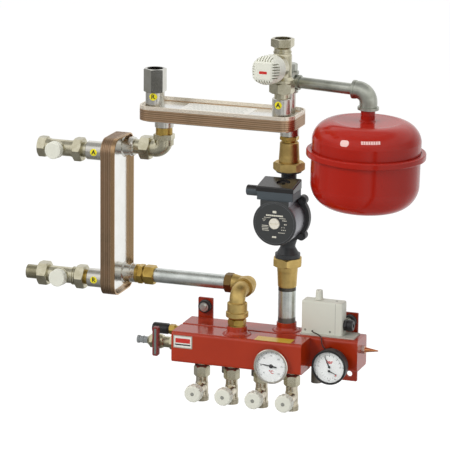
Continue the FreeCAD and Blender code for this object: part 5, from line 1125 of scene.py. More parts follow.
# Smallest and largest stretch of a weld's blobs, which lie flat
BLOB_LEAST = (0.85, 0.85, 0.55)
BLOB_MOST = (1.15, 1.15, 0.75)
SECTION_SIDES = 6
BLOB_FINENESS = 2


class Repeats:
    """Node trees for what repeats, each built once and grown with its own sizes."""

    def __init__(self) -> None:
        """Build the trees."""
        self.threads = self._threads()
        self.spokes = self._spokes()
        self.bead = self._bead()
        self.row = self._row()

    def _tree(self, name: str, inputs: dict[str, Union[int, float]]) -> tuple[
            Graph, dict[str, Socket], Socket]:
        """Start a geometry tree with named inputs, ending in Realize Instances and Set Material.

        Args:
            name: Tree name.
            inputs: Socket name to default; a whole number makes an integer socket.

        Returns:
            The graph, the given values by name, and the socket that takes the instances.
        """
        tree = bpy.data.node_groups.new(name, "GeometryNodeTree")
        tree.interface.new_socket("Geometry", in_out="INPUT", socket_type="NodeSocketGeometry")
        for socket, default in inputs.items():
            kind = "NodeSocketInt" if isinstance(default, int) else "NodeSocketFloat"
            made = tree.interface.new_socket(socket, in_out="INPUT", socket_type=kind)
            made.default_value = default
        tree.interface.new_socket("Material", in_out="INPUT", socket_type="NodeSocketMaterial")
        tree.interface.new_socket("Geometry", in_out="OUTPUT", socket_type="NodeSocketGeometry")
        g = Graph(tree)
        given, out = g.add("NodeGroupInput"), g.add("NodeGroupOutput")
        real, dressed = g.add("GeometryNodeRealizeInstances"), g.add("GeometryNodeSetMaterial")
        g.feed(dressed.inputs["Geometry"], real.outputs[0])
        g.feed(dressed.inputs["Material"], given.outputs["Material"])
        g.feed(out.inputs[0], dressed.outputs[0])
        return g, {key: given.outputs[key] for key in inputs}, real.inputs[0]

    def _node(self, g: Graph, kind: str, inputs: dict[str, Value], **settings: object) -> Socket:
        """Add a node and feed its inputs.

        Args:
            g: Graph of the tree.
            kind: Blender's name of the node's type.
            inputs: Values by socket name.
            **settings: Its plain properties.

        Returns:
            Its first output.
        """
        node = g.add(kind, **settings)
        for name, value in inputs.items():
            g.feed(node.inputs[name], value)
        return node.outputs[0]

    def _bar(self, g: Graph, given: dict[str, Socket]) -> Socket:
        """Make one bar of the given width, length and height."""
        size = g.join(given["Width"], given["Length"], given["Height"])
        return self._node(g, "GeometryNodeMeshCube", {"Size": size})

    def _threads(self) -> bpy.types.NodeTree:
        """Stack rings along Z, as the crests of a pipe thread.

        Returns:
            The tree.
        """
        g, given, result = self._tree("thread_crests", {
            "Count": 8, "Pitch": 1.8 * MM, "Radius": 10.0 * MM, "Crest": 0.5 * MM, "Sides": 48})
        ring = self._node(g, "GeometryNodeCurvePrimitiveCircle", {
            "Resolution": given["Sides"], "Radius": given["Radius"]}, mode="RADIUS")
        section = self._node(g, "GeometryNodeCurvePrimitiveCircle", {
            "Resolution": SECTION_SIDES, "Radius": given["Crest"]}, mode="RADIUS")
        crest = self._node(g, "GeometryNodeCurveToMesh", {"Curve": ring, "Profile Curve": section})
        line = self._node(g, "GeometryNodeMeshLine", {
            "Count": given["Count"], "Offset": g.join(0.0, 0.0, given["Pitch"])}, mode="OFFSET")
        g.feed(result, self._node(g, "GeometryNodeInstanceOnPoints", {"Points": line, "Instance": crest}))
        return g.tree

    def _spokes(self) -> bpy.types.NodeTree:
        """Set flat bars round part of a circle, as the marks of a dial.

        Returns:
            The tree.
        """
        g, given, result = self._tree("spoke_marks", {
            "Count": 11, "Radius": 20.0 * MM, "Start": 0.0, "Step": 0.1, "Length": 3.0 * MM,
            "Width": 0.4 * MM, "Height": 0.2 * MM})
        line = self._node(g, "GeometryNodeMeshLine", {"Count": given["Count"]}, mode="OFFSET")
        index = g.add("GeometryNodeInputIndex").outputs[0]
        angle = g.maths("ADD", given["Start"], g.maths("MULTIPLY", index, given["Step"]))
        across, up = (g.maths("MULTIPLY", g.maths(rule, angle), given["Radius"])
                      for rule in ("SINE", "COSINE"))
        points = self._node(g, "GeometryNodeSetPosition", {"Geometry": line, "Position": g.join(across, up)})
        turn = g.join(0.0, 0.0, g.maths("MULTIPLY", angle, -1.0))
        g.feed(result, self._node(g, "GeometryNodeInstanceOnPoints", {
            "Points": points, "Instance": self._bar(g, given), "Rotation": turn}))
        return g.tree

    def _bead(self) -> bpy.types.NodeTree:
        """Overlap flat blobs round a circle, as a hand-laid weld.

        Returns:
            The tree.
        """
        g, given, result = self._tree("weld_bead", {
            "Count": 60, "Radius": 20.0 * MM, "Size": 2.0 * MM, "Seed": 3})
        blob = self._node(g, "GeometryNodeMeshIcoSphere", {
            "Subdivisions": BLOB_FINENESS, "Radius": given["Size"]})
        ring = self._node(g, "GeometryNodeMeshCircle", {
            "Vertices": given["Count"], "Radius": given["Radius"]})
        size = self._node(g, "FunctionNodeRandomValue", {
            "Min": BLOB_LEAST, "Max": BLOB_MOST, "Seed": given["Seed"]}, data_type="FLOAT_VECTOR")
        g.feed(result, self._node(g, "GeometryNodeInstanceOnPoints", {
            "Points": ring, "Instance": blob, "Scale": size}))
        return g.tree

    def _row(self) -> bpy.types.NodeTree:
        """Set equal bars in a straight row along X, centred on the origin.

        Returns:
            The tree.
        """
        g, given, result = self._tree("bar_row", {
            "Count": 6, "Pitch": 4.0 * MM, "Width": 1.0 * MM, "Length": 20.0 * MM, "Height": 0.4 * MM})
        whole = g.maths("MULTIPLY", g.maths("SUBTRACT", given["Count"], 1.0), given["Pitch"])
        line = self._node(g, "GeometryNodeMeshLine", {
            "Count": given["Count"], "Start Location": g.join(g.maths("MULTIPLY", whole, -0.5)),
            "Offset": g.join(given["Pitch"])}, mode="OFFSET")
        g.feed(result, self._node(g, "GeometryNodeInstanceOnPoints", {
            "Points": line, "Instance": self._bar(g, given)}))
        return g.tree

    def grow(self, tree: bpy.types.NodeTree, finish: Finish, **sizes: float) -> bpy.types.Mesh:
        """Run a tree with its own sizes and give the plain mesh.

        Args:
            tree: One of this class's trees.
            finish: Finish of the result.
            **sizes: Input values by lower-case socket name.

        Returns:
            The mesh, about the origin.
        """
        spare = bpy.data.meshes.new("host")
        host = bpy.data.objects.new("host", spare)
        bpy.context.scene.collection.objects.link(host)
        modifier = host.modifiers.new("grow", "NODES")
        modifier.node_group = tree
        for item in tree.interface.items_tree:
            if item.in_out != "INPUT":
                continue
            key = item.name.lower()
            if key in sizes:
                modifier[item.identifier] = sizes[key]
            elif key == "material":
                modifier[item.identifier] = finish.material()
        mesh = evaluated(host)
        host.modifiers.remove(modifier)
        bpy.data.objects.remove(host)
        bpy.data.meshes.remove(spare)
        return mesh


REPEATS = Repeats()


# -----------------------------------------------------------
# Sub-assemblies
# -----------------------------------------------------------

# How far a band of colour runs past the edge of its piece
PAST_EDGE = 1.0 * MM


@dataclass
class Headers:
    """The two red header boxes, their straps, collars, labels and welds."""

    label_width: float = 38.0 * MM
    label_height: float = 25.0 * MM
    label_left: float = 4.0 * MM
    label_drop: float = 6.0 * MM
    label_corner: float = 0.6 * MM
    label_border: float = 1.9 * MM
    face_corner: float = 0.4 * MM
    bar_width_share: float = 0.86
    bar_height_share: float = 0.42
    bar_corner: float = 0.8 * MM
    bar_rise: float = 2.2 * MM
    line_width_share: float = 0.9
    line_height: float = 2.6 * MM
    line_corner: float = 0.3 * MM
    line_drop: float = 5.8 * MM
    yellow_width: float = 72.0 * MM
    yellow_depth: float = 27.0 * MM
    yellow_corner: float = 0.8 * MM
    yellow_right: float = 22.5 * MM
    yellow_from_front: float = 3.5 * MM
    sheet_thick: float = 0.15 * MM
    collar_limit: float = 30.0 * MM
    weld_blobs: int = 64
    weld_size: float = 1.5 * MM
    weld_sink: float = 0.2 * MM
    weld_lift: float = 0.3 * MM

    def build(self) -> None:
        """Dress the boxes, then add labels and welds."""
        dress(RED_ENAMEL, "front_header_box", "rear_header_box", "header_collars_and_plates", "wall_straps")
        dress(RUBBER, "rubber_isolators")
        dress(SCREW_BRIGHT, "wall_screws")
        self._front_label()
        self._top_label()
        self._welds()

    def _front_label(self) -> None:
        """Stick a bare white label in a grey border on the front box, with a plain bar and a line."""
        low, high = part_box("front_header_box")
        at = Vector((low.x + self.label_left + self.label_width / 2, low.y,
                     high.z - self.label_drop - self.label_height / 2))
        face = Facing.FRONT.matrix(at)
        wide = self.label_width - 2 * self.label_border
        tall = self.label_height - 2 * self.label_border
        border = rounded(self.label_width, self.label_height, self.label_corner)
        inside = rounded(wide, tall, self.face_corner)
        bar = rounded(wide * self.bar_width_share, tall * self.bar_height_share, self.bar_corner)
        line = rounded(wide * self.line_width_share, self.line_height, self.line_corner)
        thick = self.sheet_thick
        for part, outline, depth, rise, lift, finish, slot in (
                ("border", border, thick, 0.0, 0.0, LABEL_GREY, "white_plastic"),
                ("face", inside, thick / 2, 0.0, thick, LABEL_WHITE, "white_plastic"),
                ("bar", bar, thick / 3, self.bar_rise, 1.5 * thick, INK_RED, "red_plastic"),
                ("line", line, thick / 3, -self.line_drop, 1.5 * thick, INK_BLACK, "pointer_black")):
            place = face @ Matrix.Translation((0, rise, lift))
            plate("front_label_" + part, outline, depth, place, finish, slot)

    def _top_label(self) -> None:
        """Stick a plain yellow label on top of the front box."""
        low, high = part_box("front_header_box")
        at = Vector((high.x - self.yellow_right - self.yellow_width / 2,
                     low.y + self.yellow_from_front + self.yellow_depth / 2, high.z))
        outline = rounded(self.yellow_width, self.yellow_depth, self.yellow_corner)
        plate("top_label", outline, self.sheet_thick, Facing.UP.matrix(at), LABEL_YELLOW, "brass")

    def _welds(self) -> None:
        """Lay a painted weld bead where each collar meets its box; the end plates are taller and thinner."""
        shape = Shape()
        for low, high in solids_of("header_collars_and_plates"):
            width = high.x - low.x
            if high.z - low.z > self.collar_limit or width < self.collar_limit:
                continue
            foot = Vector(((low.x + high.x) / 2, (low.y + high.y) / 2, low.z + self.weld_lift))
            bead = REPEATS.grow(REPEATS.bead, RED_ENAMEL, count=self.weld_blobs, size=self.weld_size,
                                radius=width / 2 - self.weld_sink)
            shape.take(bead, Matrix.Translation(foot))
        shape.piece("collar_welds", RED_ENAMEL, MAIN, "red_enamel", smooth=60)


@dataclass
class Exchangers:
    """The two brazed plate exchangers, their stubs and port letters."""

    plate_pitch: float = 3.73 * MM
    upright_lip: float = 7.5 * MM
    level_lip: float = 6.8 * MM
    front_row: float = 3.0 * MM
    flow_height: float = 200.0 * MM
    disc_radius: float = 7.0 * MM
    disc_sides: int = 28
    disc_rise: float = 8.5 * MM
    disc_from_base: float = 15.0 * MM
    disc_turn_flow: float = 6.0
    disc_turn_return: float = -12.0
    letter_height: float = 8.6 * MM
    letter_bold: float = 0.35 * MM
    ink_thick: float = 0.12 * MM
    sheet_width: float = 136.0 * MM
    sheet_depth: float = 58.0 * MM
    sheet_from_left: float = 70.0 * MM
    sheet_back: float = 14.0 * MM
    sheet_corner: float = 1.0 * MM
    rows: int = 7
    row_pitch: float = 7.4 * MM
    row_lift: float = 0.14 * MM
    bars: int = 15
    bar_pitch: float = 8.0 * MM
    bar_width: float = 6.4 * MM
    bar_height: float = 2.6 * MM
    bar_thick: float = 0.05 * MM

    def build(self) -> None:
        """Dress the packs, covers and stubs, then add the letters and the printed sheet."""
        low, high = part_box("upright_plate_pack")
        dress(PlateEdges("upright_edges", tint(136, 112, 88), tint(198, 172, 142), metallic=1.0,
                         roughness=0.36, axis=Axis.X, start=low.x, pitch=self.plate_pitch,
                         lip_low=high.x - self.upright_lip, lip_high=high.x + PAST_EDGE,
                         bare=tint(190, 160, 124), flame=tint(150, 104, 78)), "upright_plate_pack")
        # The level pack's near-white lip is its bare steel rim with a painted highlight on it; the lower
        # lip_metal lets that colour show.
        low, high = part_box("level_plate_pack")
        dress(PlateEdges("level_edges", tint(138, 108, 82), tint(222, 194, 160), metallic=1.0,
                         roughness=0.32, axis=Axis.Z, start=low.z, pitch=self.plate_pitch,
                         lip_low=high.z - self.level_lip, lip_high=high.z + PAST_EDGE, lip_metal=0.6,
                         bare=tint(240, 230, 214), flame=tint(150, 106, 80)), "level_plate_pack")
        dress(COVER_STEEL, "exchanger_cover_plates")
        dress(STAINLESS, "exchanger_port_stubs")
        self._letters()
        self._cover_sheet()

    def _letters(self) -> None:
        """Stick a yellow disc with a flow or return letter on each front stub."""
        stubs = solids_of("exchanger_port_stubs")
        front = min(low.y for low, high in stubs)
        pack_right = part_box("upright_plate_pack")[1].x
        for count, (low, high) in enumerate(box for box in stubs if box[0].y < front + self.front_row):
            at = (low + high) / 2
            at.y = low.y - self.disc_radius
            if high.x < pack_right:
                at.x = high.x - self.disc_from_base
                flow, turn = at.z > self.flow_height, 0.0
            else:
                at.z += self.disc_rise
                flow = at.x > 0
                turn = math.radians(self.disc_turn_flow if flow else self.disc_turn_return)
            disc = sheet(circle(self.disc_radius, self.disc_sides))
            letter = lettering("A" if flow else "R", self.letter_height, self.ink_thick, self.letter_bold)
            stuck("port_letter_%d" % count, "exchanger_port_stubs", at, turn,
                  ((DISC_YELLOW, "white_plastic", disc), (INK_BLACK, "pointer_black", letter)))

    def _cover_sheet(self) -> None:
        """Lay a pale sheet with rows of plain bars on the cover of the level exchanger."""
        low, high = max(solids_of("exchanger_cover_plates"), key=lambda box: box[1].z)
        at = Vector((low.x + self.sheet_from_left + self.sheet_width / 2,
                     (low.y + high.y) / 2 + self.sheet_back, high.z))
        top = Facing.UP.matrix(at)
        outline = rounded(self.sheet_width, self.sheet_depth, self.sheet_corner)
        plate("cover_sheet", outline, self.ink_thick, top, LABEL_WHITE, "white_plastic")
        shape = Shape()
        for row in range(self.rows):
            bars = REPEATS.grow(REPEATS.row, INK_GREY, count=self.bars - row % 3, pitch=self.bar_pitch,
                                width=self.bar_width, length=self.bar_height, height=self.bar_thick)
            up = (row - self.rows // 2) * self.row_pitch
            shape.take(bars, top @ Matrix.Translation((0, up, self.row_lift)))
        shape.piece("cover_sheet_rows", INK_GREY, MAIN, "white_plastic")


@dataclass
class Valves:
    """Nickel valves, unions, brass fittings, pipes, drain, air vent and sensor pocket."""

    stain_height: float = 7.0 * MM
    stain_thick: float = 0.12 * MM
    flux_height: float = 27.0 * MM
    barb_length: float = 21.3 * MM
    inlay_side: float = 3.4 * MM
    inlay_end: float = 3.0 * MM
    inlay_sink: float = 0.55 * MM
    inlay_corner: float = 1.6 * MM
    inlay_thick: float = 0.3 * MM
    thread_pitch: float = 1.81 * MM
    tail_crests: int = 15
    tail_radius: float = 12.9 * MM
    tail_crest: float = 0.62 * MM
    tail_start: float = 0.8 * MM
    outlet_crests: int = 5
    outlet_radius: float = 13.0 * MM
    outlet_crest: float = 0.5 * MM
    outlet_start: float = 1.6 * MM
    outlet_min_height: float = 40.0 * MM
    button_radius: float = 3.5 * MM
    button_edge: float = 0.6 * MM
    button_height: float = 1.1 * MM
    button_sink: float = 0.9 * MM
    head_tilt: float = 5.5
    mark_width: float = 15.0 * MM
    mark_height: float = 5.0 * MM
    mark_corner: float = 1.2 * MM
    mark_thick: float = 0.12 * MM
    nose_depth: float = 3.0 * MM

    def build(self) -> None:
        """Dress the fittings, then add threads, buttons and the head's mark."""
        dress(NICKEL, "supply_valve_body", "return_valve_body", "union_nuts", "union_tails", "nickel_elbow",
              "thermostatic_valve_body")
        dress(COUPLING_CHROME, "return_coupling")
        dress(WHITE_PLASTIC, "supply_valve_cap", "return_valve_cap", "thermostatic_head",
              "hand_cap_1", "hand_cap_2", "hand_cap_3", "hand_cap_4")
        dress(GASKET, "flat_gaskets")
        dress(ZINC, "thermostatic_valve_stem")
        dress(BRASS, "brass_nipples")
        dress(BRASS_CAST, "brass_elbow_rear", "brass_elbow_front", "pump_union_bodies", "pump_union_nuts")
        dress(OUTLET_NICKEL, "outlet_valve_bodies")
        dress(OUTLET_STEEL, "rear_outlets")
        dress(DARK_PLASTIC, "air_vent_cap")
        self._compression_nuts()
        self._pipes()
        self._drain()
        self._pocket()
        self._threads()
        self._cap_buttons()
        self._head_mark()

    def _compression_nuts(self) -> None:
        """Dress the compression fittings; heat has browned the right nut."""
        low, high = max(solids_of("compression_fittings"), key=lambda box: box[0].x)
        brass = {**vars(BRASS), "name": "brass_browned"}
        dress(Zoned(**brass, axis=Axis.X, zone=(low.x - PAST_EDGE, high.x + PAST_EDGE),
                    zone_colour=tint(124, 100, 62), softness=0.5 * MM), "compression_fittings")

    def _pipes(self) -> None:
        """Dress the two steel pipes, darker where flux and sealant have stained the riser's ends."""
        low, high = max(solids_of("steel_pipes"), key=lambda box: box[1].z - box[0].z)
        dress(Zoned("pipe_steel", tint(220, 224, 220), tint(184, 190, 184), metallic=1.0, roughness=0.34,
                    swing=0.16, patches=0.7, patch_scale=55.0, grain_scale=900.0, bump=0.06 * MM, axis=Axis.Z,
                    zone=(low.z, low.z + self.flux_height), zone_colour=tint(120, 120, 116),
                    softness=3 * MM), "steel_pipes")
        under = min(box[0].z for box in solids_of("pump_union_bodies"))
        radius = (high.x - low.x) / 2 + self.stain_thick
        at = Vector(((low.x + high.x) / 2, (low.y + high.y) / 2, under - self.stain_height))
        profile = [(0, 0), (radius, 0), (radius, self.stain_height), (0, self.stain_height)]
        Shape().turned(profile, Facing.UP.matrix(at), 64).piece(
            "riser_stain", STAINED_STEEL, MAIN, "galvanised", smooth=40)

    def _drain(self) -> None:
        """Dress the drain valve: nickel body, grey hose barb, red grip with a grey inlay."""
        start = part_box("drain_valve_body")[0].x
        dress(Zoned("drain_nickel", tint(206, 200, 172), tint(160, 152, 122), metallic=1.0, roughness=0.26,
                    swing=0.14, patches=0.8, patch_scale=60.0, grain_scale=1500.0, bump=0.08 * MM,
                    axis=Axis.X, zone=(start - PAST_EDGE, start + self.barb_length),
                    zone_colour=tint(136, 140, 140), zone_rough=0.2, zone_metal=0.0, softness=0.3 * MM),
              "drain_valve_body")
        dress(RED_PLASTIC, "drain_handle")
        low, high = max(solids_of("drain_handle"), key=lambda box: box[1].z - box[0].z)
        at = Vector(((low.x + high.x) / 2, low.y + self.inlay_sink, (low.z + high.z) / 2))
        inlay = rounded(high.x - low.x - 2 * self.inlay_side, high.z - low.z - 2 * self.inlay_end,
                        self.inlay_corner)
        plate("drain_grip_inlay", inlay, self.inlay_thick, Facing.FRONT.matrix(at), INLAY_GREY,
              "grey_plastic", "drain_handle")

    def _pocket(self) -> None:
        """Dress the sensor pocket: a bright end plate, then a copper cone."""
        low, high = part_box("sensor_pocket")
        cone = max(solids_of("sensor_pocket"), key=lambda box: box[1].x)[0].x
        dress(Zoned("pocket_copper", tint(214, 142, 96), tint(176, 104, 64), metallic=1.0, roughness=0.26,
                    swing=0.14, patches=0.7, patch_scale=90.0, axis=Axis.X,
                    zone=(low.x, cone - 0.2 * MM), zone_colour=tint(214, 208, 196), zone_rough=0.0,
                    softness=0.3 * MM), "sensor_pocket")

    def _threads(self) -> None:
        """Add thread crests on the bare male ends."""
        low, high = min(solids_of("union_tails"), key=lambda box: box[0].x)
        at = Vector((low.x + self.tail_start, (low.y + high.y) / 2, (low.z + high.z) / 2))
        crests = REPEATS.grow(REPEATS.threads, THREAD_NICKEL, count=self.tail_crests, pitch=self.thread_pitch,
                              radius=self.tail_radius, crest=self.tail_crest, sides=56)
        Shape().take(crests, Facing.RIGHT.matrix(at)).piece(
            "return_thread", THREAD_NICKEL, MAIN, "nickel", smooth=70)
        shape = Shape()
        for low, high in solids_of("outlet_valve_bodies"):
            if high.z - low.z > self.outlet_min_height:
                across = high.x - low.x
                at = Vector((low.x + across / 2, high.y - across / 2, low.z + self.outlet_start))
                crests = REPEATS.grow(REPEATS.threads, THREAD_NICKEL, count=self.outlet_crests,
                                      pitch=self.thread_pitch, radius=self.outlet_radius,
                                      crest=self.outlet_crest, sides=48)
                shape.take(crests, Matrix.Translation(at))
        shape.piece("outlet_threads", THREAD_NICKEL, MAIN, "nickel", smooth=70)

    def _cap_buttons(self) -> None:
        """Put a grey button in the middle of each hand cap."""
        rim, top = self.button_radius, self.button_height
        profile = [(0, 0), (rim, 0), (rim, top - self.button_edge),
                   (rim - self.button_edge, top - 0.2 * MM), (0, top)]
        for count in range(1, 5):
            node = "hand_cap_%d" % count
            low, high = min(solids_of(node), key=lambda box: box[0].y)
            at = Vector(((low.x + high.x) / 2, low.y + self.button_sink, (low.z + high.z) / 2))
            Shape().turned(profile, Facing.FRONT.matrix(at), 32).piece(
                "hand_cap_button_%d" % count, BUTTON_GREY, node, "grey_plastic", smooth=40)

    def _head_mark(self) -> None:
        """Paint a plain red bar on the tilted face of the thermostatic head."""
        low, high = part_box("thermostatic_head")
        tilt = math.radians(self.head_tilt)
        way = Vector((0, math.cos(tilt), -math.sin(tilt)))
        points = [vert.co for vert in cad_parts["thermostatic_head"].data.vertices]
        nose = min(point.y for point in points)
        heights = [point.z for point in points if point.y < nose + self.nose_depth]
        middle = Vector(((low.x + high.x) / 2, nose, (min(heights) + max(heights)) / 2))
        face = Matrix.Translation(middle) @ Matrix.Rotation(-tilt, 4, "X") @ Facing.FRONT.matrix(Vector())
        mark = rounded(self.mark_width, self.mark_height, self.mark_corner)
        shape = Shape().slab(mark, self.mark_thick, face).refine(2 * MM)
        shape.drape("thermostatic_head", way, middle.dot(way)).piece(
            "thermostatic_head_mark", INK_RED, "thermostatic_head", "red_plastic")


@dataclass(frozen=True)
class PrintRow:
    """One row of plain bars on a printed plate, in millimetres from the plate's middle.

    Attributes:
        across: Place of its middle to the right.
        up: Place of its middle upwards.
        bars: Number of bars.
        pitch: Their spacing.
        width: Width of one bar.
        height: Height of one bar.
    """

    across: float
    up: float
    bars: int
    pitch: float
    width: float
    height: float


PUMP_TITLE = PrintRow(0.0, 15.4, 9, 3.7, 3.35, 2.9)
PUMP_FOOT = PrintRow(0.0, -25.5, 2, 4.2, 3.7, 3.4)
PUMP_LEFT_ROWS = (
    PrintRow(-14.0, 11.0, 5, 2.6, 1.9, 1.1), PrintRow(-20.5, 7.4, 3, 2.4, 1.6, 1.0),
    PrintRow(-20.5, 4.6, 2, 2.4, 1.6, 1.0), PrintRow(-18.0, -4.6, 5, 2.5, 2.1, 1.3),
    PrintRow(-18.0, -7.6, 6, 2.3, 1.7, 1.3), PrintRow(-18.0, -10.6, 5, 2.5, 2.1, 1.3),
    PrintRow(-17.0, -13.6, 6, 2.3, 1.7, 1.3))
PUMP_RIGHT_ROWS = (
    PrintRow(15.5, 11.0, 5, 2.6, 2.1, 1.1), PrintRow(19.5, 7.0, 3, 3.0, 2.3, 1.3),
    PrintRow(21.5, 0.0, 2, 3.0, 1.9, 2.0), PrintRow(17.0, -6.0, 2, 4.6, 1.4, 1.4),
    PrintRow(18.0, -11.0, 3, 3.4, 1.9, 1.3), PrintRow(14.0, -16.5, 5, 2.7, 2.1, 1.2))


@dataclass
class Pump:
    """The circulator pump."""

    plate_radius: float = 38.5 * MM
    plate_depth: float = 1.4 * MM
    mark_width: float = 7.5 * MM
    mark_height: float = 4.4 * MM
    mark_rise: float = 22.4 * MM
    mark_corner: float = 1.2 * MM
    ink_thick: float = 0.06 * MM
    rim_inset: float = 0.4 * MM
    rim_crest: float = 0.35 * MM
    rim_sides: int = 96
    lid_depth: float = 18.0 * MM

    def build(self) -> None:
        """Dress the pump."""
        dress(PUMP_BLACK, "pump_volute", "pump_head_screws")
        dress(STAINLESS, "pump_rotor_can")
        dress(ZINC, "pump_rotor")
        dress(VENT_CREAM, "pump_vent_screw")
        self._motor()
        self._terminals()

    def _motor(self) -> None:
        """Dress the motor housing and print plain bars on its face plate."""
        low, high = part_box("pump_motor_housing")
        dress(Zoned("pump_lacquer", tint(142, 142, 148), tint(124, 124, 130), metallic=0.9, roughness=0.32,
                    swing=0.10, patches=0.5, patch_scale=30.0, grain_scale=900.0, bump=0.08 * MM, dust=0.05,
                    specular=0.7, axis=Axis.Y, zone=(low.y - PAST_EDGE, low.y + self.plate_depth),
                    zone_colour=tint(48, 50, 50), zone_rough=0.14, zone_metal=0.0, softness=0.2 * MM),
              "pump_motor_housing")
        radius = (high.x - low.x) / 2
        face = Facing.FRONT.matrix(Vector(((low.x + high.x) / 2, low.y, low.z + radius)))
        shape = Shape()
        for row in (PUMP_TITLE, *PUMP_LEFT_ROWS, *PUMP_RIGHT_ROWS, PUMP_FOOT):
            bars = REPEATS.grow(REPEATS.row, INK_PALE, count=row.bars, pitch=row.pitch * MM,
                                width=row.width * MM, length=row.height * MM, height=self.ink_thick)
            shape.take(bars, face @ Matrix.Translation((row.across * MM, row.up * MM, self.ink_thick / 2)))
        mark = rounded(self.mark_width, self.mark_height, self.mark_corner)
        shape.slab(mark, self.ink_thick, face @ Matrix.Translation((0, self.mark_rise, 0)))
        shape.piece("pump_plate_print", INK_PALE, MAIN, "white_plastic")
        rim = REPEATS.grow(REPEATS.threads, RIM_GREY, count=1, crest=self.rim_crest, sides=self.rim_sides,
                           radius=self.plate_radius - self.rim_inset)
        Shape().take(rim, face).piece("pump_plate_rim", RIM_GREY, MAIN, "pump_grey", smooth=70)

    def _terminals(self) -> None:
        """Dress the terminal box: satin sides below a glossy dark lid."""
        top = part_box("pump_terminal_box")[1].z
        dress(Zoned("terminal_plastic", tint(72, 80, 85), tint(62, 69, 74), roughness=0.46, swing=0.08,
                    patches=0.4, grain_scale=1600.0, bump=0.04 * MM, dust=0.06, axis=Axis.Z,
                    zone=(top - self.lid_depth, top + PAST_EDGE), zone_colour=tint(36, 35, 35),
                    zone_rough=-0.28, softness=0.2 * MM), "pump_terminal_box")


@dataclass
class Vessel:
    """The expansion vessel and its arm."""

    neck_drop: float = 21.5 * MM
    mark_reach: float = 120.0 * MM
    # Place and size of the painted highlight, a soft bright oval on the shoulder
    blank_turn: float = -7.5
    blank_drop: float = 23.5 * MM
    blank_width: float = 17.0 * MM
    blank_height: float = 11.0 * MM
    blank_thick: float = 0.1 * MM
    row_turn: float = 21.0
    row_drop: float = 20.5 * MM
    bars: int = 8
    bar_pitch: float = 4.5 * MM
    bar_width: float = 3.6 * MM
    bar_height: float = 5.6 * MM
    bar_thick: float = 0.05 * MM

    def build(self) -> None:
        """Dress the vessel, paint a soft highlight on the left of its shoulder and print a plain row of bars
        on the right.
        """
        dress(VESSEL_RED, "vessel_shells")
        dress(RUBBER, "vessel_diaphragm")
        dress(MALLEABLE, "vessel_arm")
        # The left mark is a painted highlight: a soft bright oval where a lamp's glint falls.
        outline = rounded(self.blank_width, self.blank_height, 0.45 * self.blank_height)
        self._mark("left", self.blank_turn, self.blank_drop, sheet(outline, self.blank_thick))
        row = REPEATS.grow(REPEATS.row, INK_SOFT, count=self.bars, pitch=self.bar_pitch,
                           width=self.bar_width, length=self.bar_height, height=self.bar_thick)
        self._mark("right", self.row_turn, self.row_drop, row)

    def _mark(self, side: str, degrees: float, drop: float, mesh: bpy.types.Mesh) -> None:
        """Lay one mark on the shoulder: the painted highlight on the left, the printed row on the right.

        Args:
            side: End of the piece's name.
            degrees: Its place round the vessel, to the right of the front.
            drop: Its place below the top of the upper shell.
            mesh: The flat mark.
        """
        low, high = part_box("vessel_shells")
        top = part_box("vessel_arm")[0].z - self.neck_drop
        turn = math.radians(degrees)
        at = Vector(((low.x + high.x) / 2 + self.mark_reach * math.sin(turn),
                     (low.y + high.y) / 2 - self.mark_reach * math.cos(turn), top - drop))
        stuck("vessel_mark_" + side, "vessel_shells", at, turn, [(INK_SOFT, "white_plastic", mesh)])


@dataclass(frozen=True)
class Scale:
    """One row of marks round a dial, in degrees clockwise from the top and millimetres.

    Attributes:
        count: Number of marks.
        start: Angle of the first one.
        step: Angle between two.
        radius: Radius of their middles.
        length: Length of a mark.
        width: Width of a mark.
    """

    count: int
    start: float
    step: float
    radius: float
    length: float
    width: float


@dataclass(frozen=True)
class Figures:
    """Upright numbers round a dial, in degrees clockwise from the top and millimetres.

    Attributes:
        texts: The numbers.
        start: Angle of the first one.
        step: Angle between two.
        radius: Radius of their middles.
        height: Height of a figure.
    """

    texts: tuple[str, ...]
    start: float
    step: float
    radius: float
    height: float


@dataclass(frozen=True)
class Unit:
    """The unit printed on a dial, in millimetres.

    Attributes:
        text: The unit.
        rise: Its place above the dial's centre.
        height: Height of a capital.
    """

    text: str
    rise: float
    height: float


